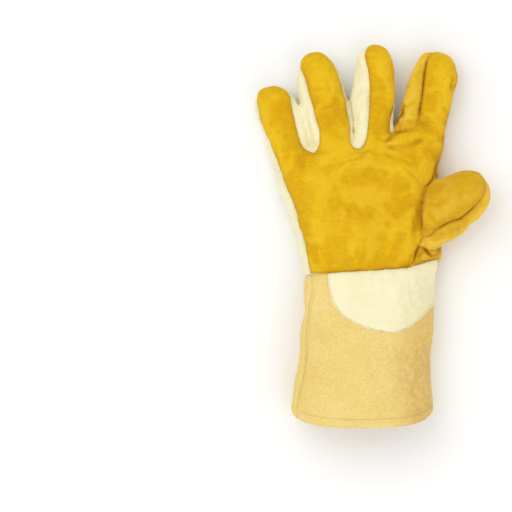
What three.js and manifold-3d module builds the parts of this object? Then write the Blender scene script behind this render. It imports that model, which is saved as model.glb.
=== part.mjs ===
// Foundry glove for the right hand, lying on its back with the palm up.
// Millimetres. X points to the thumb side, Y to the fingertips, Z up from the surface it lies on.
// The glove is one hollow wall, cut along its seams into the pieces that it is sewn from.
import * as THREE from "three";
import { mergeVertices } from "three/addons/utils/BufferGeometryUtils.js";
import Module from "manifold-3d";

const wasm = await Module();
wasm.setup();

// Driving sizes
const WALL = 3; // split leather or aramid felt with its wool lining
const SEAM_GAP = 0.3; // clearance between two sewn pieces
const PALM_SEAM_Z = 17; // height where the palm leather ends on the side of a finger
const BACK_SEAM_Z = 8; // height where the back panel ends on the side of a finger
const THUMB_SEAM_Z = 27; // height where the two thumb halves meet
const PATCH_THICKNESS = 1.8;
const SEAM_RIDGE_HEIGHT = 1.4;
const SEAM_RIDGE_WIDTH = 4;
const BACK_SEAM_HEIGHT = 1; // the raised seams of the back hold the hand this far off the surface
const BACK_SEAM_WIDTH = 5;
const FAR = 300; // beyond any face of the glove

// Mesh fineness
const BODY_SIDES = 30;
const DIGIT_SIDES = 14;
const CAP_STEPS = 3;
const CAP_END_DEG = 80; // the last ring of a fingertip, closed by a small flat

// Cross-sections: a rounded palm side and a flatter side where the glove rests
const TOP_POWER = 2.25;
const BOTTOM_POWER = 2.9;
const WIDEST_AT = 0.42; // share of the height

// Cuff and hand, from the open end to the knuckles. lean turns a section in the plan, in degrees.
const BODY_ROWS = [
  { x: -10.3, y: -190.0, lean: 0, half: 64.9, low: 0.0, high: 60.0 },
  { x: -10.3, y: -160.0, lean: 0, half: 64.9, low: 0.0, high: 60.0 },
  { x: -9.4, y: -137.0, lean: 0, half: 63.4, low: 0.0, high: 57.0 },
  { x: -8.1, y: -113.0, lean: 0, half: 61.4, low: 0.0, high: 54.0 },
  { x: -5.7, y: -88.0, lean: 0, half: 61.6, low: 0.3, high: 51.0 },
  { x: -4.2, y: -64.0, lean: 0, half: 60.0, low: 0.7, high: 48.0 },
  { x: -4.3, y: -45.6, lean: 0, half: 60.0, low: 1.0, high: 46.0 },
  { x: -3.5, y: -29.8, lean: 0, half: 61.2, low: 1.0, high: 45.0 },
  { x: -2.8, y: -13.0, lean: 0, half: 66.0, low: 1.0, high: 46.0 },
  { x: -4.9, y: 5.6, lean: 0, half: 68.4, low: 1.0, high: 46.0 },
  { x: -8.6, y: 26.0, lean: -1, half: 71.1, low: 1.0, high: 45.0 },
  { x: -13.3, y: 46.0, lean: -4, half: 73.0, low: 1.0, high: 42.0 },
  { x: -14.6, y: 63.0, lean: -7, half: 76.0, low: 1.0, high: 38.0 },
  { x: -13.7, y: 76.0, lean: -8, half: 77.5, low: 1.0, high: 35.0 },
  { x: -14.2, y: 82.5, lean: -8, half: 75.5, low: 4.0, high: 31.0 },
  { x: -14.6, y: 86.0, lean: -8, half: 72.0, low: 9.0, high: 25.0 },
];

// Digits, each from inside the palm to its last full section, then a rounded tip
const DIGITS = {
  little: {
    lean: -20,
    rows: [
      { x: -69.0, y: 51.0, half: 15.0, low: 3.0, high: 32.0 },
      { x: -76.0, y: 70.7, half: 17.7, low: 1.0, high: 32.0 },
      { x: -79.7, y: 87.4, half: 19.5, low: 1.0, high: 30.0 },
      { x: -84.4, y: 104.2, half: 19.5, low: 1.4, high: 29.0 },
      { x: -90.0, y: 119.0, half: 18.6, low: 2.4, high: 28.5 },
    ],
    tip: { x: -98.2, y: 139.6, z: 17.0 },
  },
  ring: {
    lean: -15,
    rows: [
      { x: -30.0, y: 58.0, half: 16.0, low: 3.0, high: 34.0 },
      { x: -35.1, y: 78.1, half: 18.6, low: 1.0, high: 33.0 },
      { x: -40.7, y: 100.4, half: 19.5, low: 1.0, high: 31.0 },
      { x: -43.9, y: 119.0, half: 20.5, low: 1.4, high: 30.5 },
      { x: -48.1, y: 135.8, half: 20.5, low: 2.6, high: 30.5 },
    ],
    tip: { x: -56.8, y: 170.7, z: 19.0 },
  },
  middle: {
    lean: 0,
    rows: [
      { x: -1.0, y: 62.0, half: 15.0, low: 3.0, high: 35.0 },
      { x: -0.7, y: 84.6, half: 17.7, low: 1.0, high: 33.0 },
      { x: -0.2, y: 103.2, half: 18.6, low: 1.0, high: 31.5 },
      { x: 0.2, y: 121.8, half: 20.4, low: 1.4, high: 31.0 },
      { x: 1.2, y: 137.6, half: 19.5, low: 2.2, high: 31.0 },
      { x: 2.1, y: 154.4, half: 18.1, low: 3.4, high: 31.0 },
    ],
    tip: { x: 1.2, y: 177.8, z: 19.5 },
  },
  index: {
    lean: 15,
    rows: [
      { x: 36.0, y: 60.0, half: 20.0, low: 3.0, high: 34.0 },
      { x: 41.2, y: 80.0, half: 22.3, low: 1.0, high: 33.0 },
      { x: 44.9, y: 98.6, half: 22.8, low: 1.0, high: 31.5 },
      { x: 48.6, y: 115.3, half: 21.9, low: 1.4, high: 31.0 },
      { x: 53.2, y: 132.1, half: 21.9, low: 2.2, high: 31.0 },
      { x: 57.5, y: 146.2, half: 20.7, low: 3.0, high: 31.0 },
      { x: 60.1, y: 154.4, half: 18.4, low: 3.8, high: 31.0 },
    ],
    tip: { x: 61.4, y: 171.1, z: 19.5 },
  },
  thumb: {
    lean: 57,
    rows: [
      { x: 37.0, y: 6.0, half: 18.0, low: 13.0, high: 35.0 },
      { x: 47.7, y: 13.0, half: 22.3, low: 11.0, high: 49.0 },
      { x: 62.5, y: 22.3, half: 26.6, low: 9.0, high: 53.5 },
      { x: 76.5, y: 30.7, half: 24.2, low: 10.0, high: 54.0 },
      { x: 84.6, y: 36.6, half: 22.2, low: 12.0, high: 53.0 },
    ],
    tip: { x: 104.2, y: 51.0, z: 33.0 },
  },
};

// Dents and folds of the side that faces up. heading is the fold's direction from X, in degrees;
// reach is its length either way, breadth its width either way, and a negative depth is a ridge.
const FOLDS = [
  { name: "palm hollow", x: -8, y: 24, heading: 10, reach: 40, breadth: 30, depth: 6 },
  { name: "thumb valley", x: 43, y: 22, heading: 84, reach: 24, breadth: 5, depth: 7 },
  { name: "finger root crease", x: 12, y: 66, heading: -14, reach: 42, breadth: 7, depth: 2.5 },
  { name: "heel of the hand", x: -40, y: -8, heading: 80, reach: 26, breadth: 14, depth: -2 },
  { name: "cuff dent near the thumb", x: 34, y: -98, heading: 70, reach: 20, breadth: 10, depth: 3 },
  { name: "cuff dent near the little finger", x: -48, y: -70, heading: 20, reach: 16, breadth: 9, depth: 2.5 },
  { name: "cuff swell", x: -10, y: -130, heading: 0, reach: 36, breadth: 20, depth: -1.5 },
];

// Outlines in the plan, each a list of [x, y]
const PALM_LEFT_EDGE = [
  [-57.8, -35.2], [-65.2, -2.8], [-74.2, 25.1], [-84.4, 53.0], [-91.8, 72.5], [-103.9, 105.1], [-110.0, 126.0],
];
const LITTLE_INNER_EDGE = [
  [-79.0, 139.0], [-75.4, 127.5], [-72.6, 112.5], [-68.9, 95.0], [-64.2, 83.0], [-54.8, 77.2],
];
const RING_OUTER_EDGE = [
  [-49.6, 87.4], [-49.1, 96.0], [-51.9, 106.0], [-56.0, 118.2], [-62.0, 137.2], [-67.0, 154.0],
];
const RING_INNER_EDGE = [
  [-30.0, 152.0], [-28.6, 140.0], [-25.6, 125.9], [-23.9, 114.7], [-22.2, 99.5], [-19.3, 81.5],
];
const MIDDLE_OUTER_EDGE = [
  [-8.1, 83.0], [-5.3, 93.3], [-4.2, 111.2], [-3.1, 124.0], [-4.2, 142.8], [-7.7, 166.5], [-5.5, 174.0],
];
const MIDDLE_INNER_EDGE = [
  [24.0, 160.0], [23.0, 130.0], [19.0, 116.0], [16.6, 106.0], [16.3, 96.0],
];
const INDEX_SEAM = [
  [20.7, 95.8], [30.0, 99.5], [39.0, 101.5], [42.3, 109.7], [43.9, 120.2], [45.6, 134.4], [47.6, 154.0], [50.0, 164.5],
  [56.0, 172.0],
];
const THUMB_VALLEY = [
  [49.1, 45.0], [44.5, 34.9], [42.8, 23.6], [43.4, 12.4], [44.2, 5.0], [47.0, -2.0],
];
const THUMB_SEAM = [
  [52.3, -0.7], [56.9, 3.9], [64.8, 8.9], [73.2, 12.4], [81.7, 15.2], [89.0, 20.3], [94.6, 25.9], [100.3, 33.2],
  [103.2, 41.0], [103.4, 48.0], [100.0, 56.0],
];
const PALM_LOWER_EDGE = [
  [42.5, -9.1], [38.5, -25.2], [23.9, -29.4], [1.3, -31.6], [-21.2, -32.7], [-43.0, -34.4],
];
const BACK_SEAM = [
  [18.0, 92.0], [10.5, 30.0], [3.0, -50.0],
];
const INDEX_BACK_LOWER_EDGE = [
  [10.5, 30.0], [35.0, 34.5], [52.0, 39.5], [60.0, 48.0], [70.0, 52.0],
];
const PATCH_EDGE = [
  [-42.3, -26.0], [-42.0, -44.0], [-37.1, -62.6], [-26.7, -75.2], [-10.4, -84.2], [6.0, -88.6], [19.3, -90.0],
  [34.1, -84.2], [46.0, -74.4], [54.9, -64.2], [62.0, -48.0], [66.0, -20.0],
];
const CUFF_SEAM = [
  [-58.5, -37.0], [-58.5, -53.8], [-62.5, -77.5], [-64.5, -113.1], [-67.0, -132.3], [-71.0, -150.0], [-72.5, -190.0],
];
const BACK_RAISED_SEAMS = [
  [[-14, 80], [-18, 60], [-21, 41], [-22, 21], [-22, -34]],
  [[-54, 75], [-58, 56], [-56, 40], [-52, 10], [-49, -34]],
];
const HEM = { centreX: -10.3, half: 65.3, sideY: -157, middleY: -177, power: 2.8 };

// A solid as a three.js geometry, and back
function solidOf(geometry) {
  const bare = new THREE.BufferGeometry();
  const source = geometry.index ? geometry.toNonIndexed() : geometry;
  bare.setAttribute("position", source.getAttribute("position"));
  const merged = mergeVertices(bare, 1e-4);
  const vertProperties = merged.attributes.position.array;
  const triVerts = new Uint32Array(merged.index.array);
  return new wasm.Manifold(new wasm.Mesh({ numProp: 3, vertProperties, triVerts }));
}

function geometryOf(solid) {
  const mesh = solid.getMesh();
  const geometry = new THREE.BufferGeometry();
  geometry.setAttribute("position", new THREE.BufferAttribute(mesh.vertProperties, 3));
  geometry.setIndex(new THREE.BufferAttribute(mesh.triVerts, 1));
  geometry.computeVertexNormals();
  return geometry;
}

const joined = (solids) => solids.reduce((all, next) => all.add(next));

// The largest body of a solid, without the slivers that a cut leaves beside it
function mainBody(solid) {
  return solid.decompose().reduce((best, next) => (next.volume() > best.volume() ? next : best));
}

// How far the folds lower the upper side at a point of the plan
function foldDepth(x, y) {
  let depth = 0;
  for (const fold of FOLDS) {
    const heading = THREE.MathUtils.degToRad(fold.heading);
    const along = (x - fold.x) * Math.cos(heading) + (y - fold.y) * Math.sin(heading);
    const across = (y - fold.y) * Math.cos(heading) - (x - fold.x) * Math.sin(heading);
    depth += fold.depth * Math.exp(-((along / fold.reach) ** 2) - (across / fold.breadth) ** 2);
  }
  return depth;
}

// The sections that round a digit off, from its last row to its tip
function tipRows(last, tip) {
  return Array.from({ length: CAP_STEPS }, (_, i) => {
    const angle = THREE.MathUtils.degToRad((CAP_END_DEG * (i + 1)) / CAP_STEPS);
    const along = Math.sin(angle);
    const keep = Math.cos(angle);
    const middle = THREE.MathUtils.lerp((last.low + last.high) / 2, tip.z, along);
    const halfHeight = ((last.high - last.low) / 2) * keep;
    return {
      x: THREE.MathUtils.lerp(last.x, tip.x, along),
      y: THREE.MathUtils.lerp(last.y, tip.y, along),
      lean: last.lean,
      half: last.half * keep,
      low: middle - halfHeight,
      high: middle + halfHeight,
    };
  });
}

// A closed solid through the sections: a cylinder whose rings are moved onto them.
// inset is how far its wall lies inside the sections; a negative one lies outside.
function sweep(rows, sides, inset) {
  const last = rows.length - 1;
  const cylinder = new THREE.CylinderGeometry(1, 1, last, sides, last);
  const position = cylinder.attributes.position;
  for (let i = 0; i < position.count; i++) {
    const row = rows[Math.round(position.getY(i) + last / 2)];
    const radial = Math.hypot(position.getX(i), position.getZ(i));
    const across = radial > 0.5 ? position.getX(i) : 0;
    const rise = radial > 0.5 ? position.getZ(i) : 0;
    const lean = THREE.MathUtils.degToRad(row.lean);
    const half = Math.max(row.half - inset, 0.5);
    const middle = THREE.MathUtils.lerp(row.low, row.high, WIDEST_AT);
    const upper = Math.max(row.high - middle - inset, 0.5);
    const lower = Math.max(middle - row.low - inset, 0.5);
    const power = rise > 0 ? TOP_POWER : BOTTOM_POWER;
    const reach = half * Math.sign(across) * Math.abs(across) ** (2 / power);
    const height = Math.sign(rise) * Math.abs(rise) ** (2 / power) * (rise > 0 ? upper : lower);
    const x = row.x + reach * Math.cos(lean);
    const y = row.y - reach * Math.sin(lean);
    const share = Math.max(height / upper, 0);
    position.setXYZ(i, x, y, middle + height - share * foldDepth(x, y));
  }
  return solidOf(cylinder);
}

// The rows moved back, more and more from root to tip, so that the hollow stops a wall short of the tip
function movedBack(rows, tipDistance) {
  return rows.map((row, i) => {
    const lean = THREE.MathUtils.degToRad(row.lean);
    const distance = (tipDistance * i) / (rows.length - 1);
    return { ...row, x: row.x - distance * Math.sin(lean), y: row.y - distance * Math.cos(lean) };
  });
}

function digitRows({ lean, rows, tip }) {
  const full = rows.map((row) => ({ ...row, lean }));
  return [...full, ...tipRows(full.at(-1), tip)];
}

// The plan outline moved outwards by grow, each corner along the bisector of its two edges
function grownOutline(points, grow) {
  const corners = points.map(([x, y]) => new THREE.Vector2(x, y));
  if (THREE.ShapeUtils.isClockWise(corners)) corners.reverse();
  return corners.map((corner, i) => {
    const before = corners.at(i - 1);
    const after = corners[(i + 1) % corners.length];
    const first = corner.clone().sub(before).normalize();
    const second = after.clone().sub(corner).normalize();
    const normal = new THREE.Vector2(first.y + second.y, -first.x - second.x).normalize();
    const stretch = 1 / Math.max(Math.sqrt((1 + first.dot(second)) / 2), 0.5);
    return corner.clone().addScaledVector(normal, grow * stretch);
  });
}

// An upright prism over a plan outline, between two heights
function prism(points, low, high, grow = 0) {
  const shape = new THREE.Shape(grownOutline(points, grow));
  const geometry = new THREE.ExtrudeGeometry(shape, { depth: high - low + 2 * grow, bevelEnabled: false });
  geometry.translate(0, 0, low - grow);
  return solidOf(geometry);
}

// Regions of the glove, each a function of how far it is grown
const palmOutline = [
  ...PALM_LEFT_EDGE,
  [-106, 146], [-88, 148],
  ...LITTLE_INNER_EDGE,
  ...RING_OUTER_EDGE,
  [-70, 178], [-36, 180],
  ...RING_INNER_EDGE,
  ...MIDDLE_OUTER_EDGE,
  [-6, 186], [22, 186],
  ...MIDDLE_INNER_EDGE,
  ...INDEX_SEAM,
  [60, 182], [90, 170], [84, 130], [76, 100], [70, 80], [66, 60], [58, 51],
  ...THUMB_VALLEY,
  ...PALM_LOWER_EDGE,
];
const thumbFrontOutline = [...THUMB_VALLEY, ...THUMB_SEAM, [98, 72], [62, 72], [56, 53]];
const thumbBackUpperOutline = [
  [46.5, -1], [41.5, -9.5], [50, -12.5], [62, -12], [90, -4], [118, 20], [122, 70], [62, 72], [57, 53], [46, 30],
];
const thumbBackLowerOutline = [[58.5, -8], [90, -12], [118, 20], [122, 70], [66, 72], [58.5, 52]];
const indexSideOutline = [...INDEX_SEAM, [56, 184], [31, 184], [27, 140], [20.5, 112], [19.5, 95]];
const indexBackOutline = [
  ...INDEX_BACK_LOWER_EDGE, [96, 80], [100, 184], [31, 184], [27, 140], [20.5, 112], [19.5, 95], [18, 92],
];
const saddleOutline = [...BACK_SEAM, [90, -50], [90, 60], [70, 52], ...INDEX_BACK_LOWER_EDGE.slice(1, 4).reverse()];
const littleRingOutline = [
  [-52, 62], [-66, 66], [-77, 84], [-84.4, 104.2], [-90, 119], [-98, 148], [-57, 182],
  [-48.1, 135.8], [-43.9, 119], [-40.7, 100.4], [-38, 84], [-42, 68],
];
const ringMiddleOutline = [
  [-24, 66], [-36, 76], [-40.7, 100.4], [-43.9, 119], [-48.1, 135.8], [-57, 182], [1.5, 186],
  [1.2, 137.6], [0.2, 121.8], [-0.2, 103.2], [-2, 86], [-8, 70],
];
const middleIndexOutline = [
  [7, 72], [0, 88], [-0.2, 103.2], [0.2, 121.8], [1.2, 137.6], [1.5, 186], [31, 186], [27, 140], [20.5, 112], [19.5, 95],
  [19, 88], [14, 76],
];

// The cuff ends at the wrist seam, which slants up to the thumb side and to the palm side, and more
// steeply where it passes round under the thumb. low is where it lies at height 0, high where at height top.
const WRIST_SEAM = { low: -41, high: -30, top: 46, slantDeg: 3.5 };
const WRIST_SEAM_AT_THUMB = { low: -55, high: -37.8, top: 22, slantDeg: 16 };
function cuffRegion(grow) {
  return belowSeam(WRIST_SEAM, grow).add(belowSeam(WRIST_SEAM_AT_THUMB, grow));
}

// Everything on the cuff's side of one slanted seam
function belowSeam(seam, grow) {
  const side = new THREE.Shape([
    new THREE.Vector2(-FAR, -20),
    new THREE.Vector2(seam.low + grow, -20),
    new THREE.Vector2(seam.low + grow, 0),
    new THREE.Vector2(seam.high + grow, seam.top),
    new THREE.Vector2(seam.high + grow, 90),
    new THREE.Vector2(-FAR, 90),
  ]);
  const slab = new THREE.ExtrudeGeometry(side, { depth: FAR, bevelEnabled: false });
  slab.translate(0, 0, -FAR / 2);
  slab.rotateX(Math.PI / 2);
  slab.rotateZ(Math.PI / 2);
  slab.rotateZ(THREE.MathUtils.degToRad(seam.slantDeg));
  return solidOf(slab);
}

// What lies beyond the hem, whose two corners are rounded
function beyondHem() {
  const edge = [];
  for (let i = -8; i <= 8; i++) {
    const share = Math.sin((i / 8) * (Math.PI / 2));
    const drop = (1 - Math.abs(share) ** HEM.power) ** (1 / HEM.power);
    edge.push([HEM.centreX + share * HEM.half, THREE.MathUtils.lerp(HEM.sideY, HEM.middleY, drop)]);
  }
  const outline = [...edge, [FAR, HEM.sideY], [FAR, -FAR], [-FAR, -FAR], [-FAR, HEM.sideY]];
  return prism(outline, -20, 90);
}

// A band of the given width along a line of the plan
function band(line, width) {
  const side = (sign) =>
    line.map(([x, y], i) => {
      const [bx, by] = line[Math.max(i - 1, 0)];
      const [ax, ay] = line[Math.min(i + 1, line.length - 1)];
      const length = Math.hypot(ax - bx, ay - by);
      return [x - (sign * width * (ay - by)) / (2 * length), y + (sign * width * (ax - bx)) / (2 * length)];
    });
  return [...side(1), ...side(-1).reverse()];
}

// The hollow wall
const bodyRows = BODY_ROWS;
const digits = Object.values(DIGITS).map(digitRows);
const hem = beyondHem();
const outside = joined([sweep(bodyRows, BODY_SIDES, 0), ...digits.map((rows) => sweep(rows, DIGIT_SIDES, 0))]);
const openRows = [{ ...bodyRows[0], y: bodyRows[0].y - 20 }, ...movedBack(bodyRows, WALL)];
const inside = joined([
  sweep(openRows, BODY_SIDES, WALL),
  ...digits.map((rows) => sweep(movedBack(rows, WALL), DIGIT_SIDES, WALL)),
]);
const raisedSeams = joined(BACK_RAISED_SEAMS.map((line) => prism(band(line, BACK_SEAM_WIDTH), -1, 8))).intersect(
  sweep(bodyRows, BODY_SIDES, -BACK_SEAM_HEIGHT),
);
const wall = outside.add(raisedSeams).subtract(inside).subtract(hem);

// A sheet that lies on the cuff, from one height above it to another
function overlay(low, high, region) {
  const sheet = sweep(bodyRows, BODY_SIDES, -high).subtract(sweep(bodyRows, BODY_SIDES, -low));
  return sheet.intersect(region).subtract(hem);
}

// The pieces, in the order that each takes its share of the wall
const REGIONS = {
  thumb_front: (grow) => prism(thumbFrontOutline, THUMB_SEAM_Z, 90, grow),
  thumb_back: (grow) =>
    prism(thumbBackUpperOutline, 20, 90, grow).add(prism(thumbBackLowerOutline, -20, 40, grow)),
  palm_panel: (grow) => prism(palmOutline, PALM_SEAM_Z, 90, grow),
  cuff: (grow) => cuffRegion(grow),
  index_side_panel: (grow) => prism(indexSideOutline, BACK_SEAM_Z, 90, grow),
  index_back_panel: (grow) => prism(indexBackOutline, -20, 90, grow),
  saddle_panel: (grow) => prism(saddleOutline, -20, 90, grow),
  fourchette_little_ring: (grow) => prism(littleRingOutline, BACK_SEAM_Z, 90, grow),
  fourchette_ring_middle: (grow) => prism(ringMiddleOutline, BACK_SEAM_Z, 90, grow),
  fourchette_middle_index: (grow) => prism(middleIndexOutline, BACK_SEAM_Z, 90, grow),
};

const LEATHER = { color: 0xe3b224, roughness: 0.85, metalness: 0 };
const ARAMID = { color: 0xf8efc4, roughness: 0.95, metalness: 0 };
const CUFF_CLOTH = { color: 0xefd484, roughness: 0.95, metalness: 0 };
const LOOKS = {
  thumb_front: LEATHER,
  thumb_back: LEATHER,
  palm_panel: LEATHER,
  cuff: CUFF_CLOTH,
  index_side_panel: LEATHER,
  index_back_panel: LEATHER,
  saddle_panel: LEATHER,
  fourchette_little_ring: ARAMID,
  fourchette_ring_middle: ARAMID,
  fourchette_middle_index: ARAMID,
  back_panel: ARAMID,
  wrist_patch: ARAMID,
  cuff_side_seam: CUFF_CLOTH,
};

const solids = {};
let rest = wall;
for (const [name, region] of Object.entries(REGIONS)) {
  solids[name] = rest.intersect(region(0));
  rest = rest.subtract(region(SEAM_GAP));
}
solids.back_panel = rest;
solids.wrist_patch = overlay(
  SEAM_GAP,
  SEAM_GAP + PATCH_THICKNESS,
  prism(PATCH_EDGE, 20, 90).subtract(prism(palmOutline, 0, 90, SEAM_GAP)).intersect(cuffRegion(0)),
);
solids.cuff_side_seam = overlay(
  SEAM_GAP,
  SEAM_GAP + SEAM_RIDGE_HEIGHT,
  prism(band(CUFF_SEAM, SEAM_RIDGE_WIDTH), 24, 90).intersect(cuffRegion(0)),
);

// The origin is the middle of the glove's extent, on the surface that it lies on
const extent = joined(Object.values(solids)).boundingBox();
const middle = [0, 1].map((axis) => (extent.min[axis] + extent.max[axis]) / 2);
const glove = new THREE.Group();
for (const [name, solid] of Object.entries(solids)) {
  const placed = mainBody(solid).translate([-middle[0], -middle[1], -extent.min[2]]);
  const mesh = new THREE.Mesh(geometryOf(placed), new THREE.MeshStandardMaterial(LOOKS[name]));
  mesh.name = name;
  glove.add(mesh);
}

export default glove;
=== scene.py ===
"""Foundry glove for the right hand, lying on its back: suede palm, ribbed cream back, long speckled cuff."""

import sys
import logging
import math
from collections.abc import Callable, Sequence
from dataclasses import asdict, dataclass, field, replace
from enum import Enum

import bmesh
import bpy
import numpy as np
from mathutils import Matrix, Vector, noise
from mathutils.bvhtree import BVHTree


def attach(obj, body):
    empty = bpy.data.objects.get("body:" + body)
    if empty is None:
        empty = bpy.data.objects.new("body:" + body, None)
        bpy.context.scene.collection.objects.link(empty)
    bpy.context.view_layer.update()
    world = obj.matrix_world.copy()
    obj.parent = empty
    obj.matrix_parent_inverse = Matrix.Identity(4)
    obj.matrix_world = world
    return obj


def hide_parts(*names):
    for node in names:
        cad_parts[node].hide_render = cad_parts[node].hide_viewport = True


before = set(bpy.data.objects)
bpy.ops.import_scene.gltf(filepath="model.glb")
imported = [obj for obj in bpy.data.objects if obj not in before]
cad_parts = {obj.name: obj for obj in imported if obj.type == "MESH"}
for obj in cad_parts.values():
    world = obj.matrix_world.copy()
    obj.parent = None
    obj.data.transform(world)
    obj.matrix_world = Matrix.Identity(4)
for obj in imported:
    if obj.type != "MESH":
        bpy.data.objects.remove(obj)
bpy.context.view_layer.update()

LOG = logging.getLogger("glove")
MM = 0.001
MIDDLE = np.array([-0.8058, 0.2223, 0.0])  # middle of the glove's extent in the tables' millimetres
TOP_POWER = 2.25  # how square the upper half of a cross-section is; 2 is round
BOTTOM_POWER = 2.9
WIDEST_AT = 0.42  # where a cross-section is widest, as a share of its height
CAP_END_DEG = 88.0  # how far a fingertip is rounded off
CAP_STEPS = 9

Point = tuple[float, float]
Marks = tuple[np.ndarray, np.ndarray]  # each place's move outwards, in millimetres, and its shade
Colour = tuple[float, float, float]
Socket = bpy.types.NodeSocket


class Panel(Enum):
    """The sewn panels of the glove's wall, in the order that each takes its share of it."""

    THUMB_FRONT = "thumb_front"
    THUMB_BACK = "thumb_back"
    PALM = "palm_panel"
    CUFF = "cuff"
    INDEX_SIDE = "index_side_panel"
    INDEX_BACK = "index_back_panel"
    SADDLE = "saddle_panel"
    LITTLE_RING = "fourchette_little_ring"
    RING_MIDDLE = "fourchette_ring_middle"
    MIDDLE_INDEX = "fourchette_middle_index"
    BACK = "back_panel"


class Side(Enum):
    """The side of the lying glove that a line or fold is on."""

    UP = 1
    DOWN = -1


@dataclass(frozen=True)
class Section:
    """A cross-section of the hand or a digit, in millimetres; lean turns it in the plan, in degrees."""

    x: float
    y: float
    half: float
    low: float
    high: float
    lean: float = 0.0


HAND_SECTIONS = (
    Section(-10.3, -190.0, 64.9, 0.0, 60.0),
    Section(-10.3, -160.0, 64.9, 0.0, 60.0),
    Section(-9.4, -137.0, 63.4, 0.0, 57.0),
    Section(-8.1, -113.0, 61.4, 0.0, 54.0),
    Section(-5.7, -88.0, 61.6, 0.3, 51.0),
    Section(-4.2, -64.0, 60.0, 0.7, 48.0),
    Section(-4.3, -45.6, 60.0, 1.0, 46.0),
    Section(-3.5, -29.8, 61.2, 1.0, 45.0),
    Section(-2.8, -13.0, 66.0, 1.0, 46.0),
    Section(-4.9, 5.6, 68.4, 1.0, 46.0),
    Section(-8.6, 26.0, 71.1, 1.0, 45.0, -1.0),
    Section(-13.3, 46.0, 73.0, 1.0, 42.0, -4.0),
    Section(-14.6, 63.0, 76.0, 1.0, 38.0, -7.0),
    Section(-13.7, 76.0, 77.5, 1.0, 35.0, -8.0),
    Section(-14.2, 82.5, 75.5, 4.0, 31.0, -8.0),
    Section(-14.6, 86.0, 72.0, 9.0, 25.0, -8.0),
)


@dataclass(frozen=True)
class Digit:
    """A finger or the thumb: its sections from inside the palm, and its tip."""

    lean: float
    sections: tuple[Section, ...]
    tip: tuple[float, float, float]


DIGITS = {
    "little": Digit(
        -20.0,
        (
            Section(-69.0, 51.0, 15.0, 3.0, 32.0),
            Section(-76.0, 70.7, 17.7, 1.0, 32.0),
            Section(-79.7, 87.4, 19.5, 1.0, 30.0),
            Section(-84.4, 104.2, 19.5, 1.4, 29.0),
            Section(-90.0, 119.0, 18.6, 2.4, 28.5),
        ),
        (-98.2, 139.6, 17.0),
    ),
    "ring": Digit(
        -15.0,
        (
            Section(-30.0, 58.0, 16.0, 3.0, 34.0),
            Section(-35.1, 78.1, 18.6, 1.0, 33.0),
            Section(-40.7, 100.4, 19.5, 1.0, 31.0),
            Section(-43.9, 119.0, 20.5, 1.4, 30.5),
            Section(-48.1, 135.8, 20.5, 2.6, 30.5),
        ),
        (-56.8, 170.7, 19.0),
    ),
    "middle": Digit(
        0.0,
        (
            Section(-1.0, 62.0, 15.0, 3.0, 35.0),
            Section(-0.7, 84.6, 17.7, 1.0, 33.0),
            Section(-0.2, 103.2, 18.6, 1.0, 31.5),
            Section(0.2, 121.8, 20.4, 1.4, 31.0),
            Section(1.2, 137.6, 19.5, 2.2, 31.0),
            Section(2.1, 154.4, 18.1, 3.4, 31.0),
        ),
        (1.2, 177.8, 19.5),
    ),
    "index": Digit(
        15.0,
        (
            Section(36.0, 60.0, 20.0, 3.0, 34.0),
            Section(41.2, 80.0, 22.3, 1.0, 33.0),
            Section(44.9, 98.6, 22.8, 1.0, 31.5),
            Section(48.6, 115.3, 21.9, 1.4, 31.0),
            Section(53.2, 132.1, 21.9, 2.2, 31.0),
            Section(57.5, 146.2, 20.7, 3.0, 31.0),
            Section(60.1, 154.4, 18.4, 3.8, 31.0),
        ),
        (61.4, 171.1, 19.5),
    ),
    "thumb": Digit(
        57.0,
        (
            Section(37.0, 6.0, 18.0, 13.0, 35.0),
            Section(47.7, 13.0, 22.3, 11.0, 49.0),
            Section(62.5, 22.3, 26.6, 9.0, 53.5),
            Section(76.5, 30.7, 24.2, 10.0, 54.0),
            Section(84.6, 36.6, 22.2, 12.0, 53.0),
        ),
        (104.2, 51.0, 33.0),
    ),
}


@dataclass(frozen=True)
class Fold:
    """A broad dent or swell of the side that faces up; heading in degrees from X, a negative depth swells."""

    x: float
    y: float
    heading: float
    reach: float
    breadth: float
    depth: float


FOLDS = (
    Fold(-8, 24, 10, 40, 30, 6),  # palm hollow
    Fold(43, 22, 84, 24, 5, 7),  # thumb valley
    Fold(12, 66, -14, 42, 7, 2.5),  # finger root crease
    Fold(-40, -8, 80, 26, 14, -2),  # heel of the hand
    Fold(34, -98, 70, 20, 10, 3),  # cuff dent near the thumb
    Fold(-48, -70, 20, 16, 9, 2.5),  # cuff dent near the little finger
    Fold(-10, -130, 0, 36, 20, -1.5),  # cuff swell
)


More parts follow.
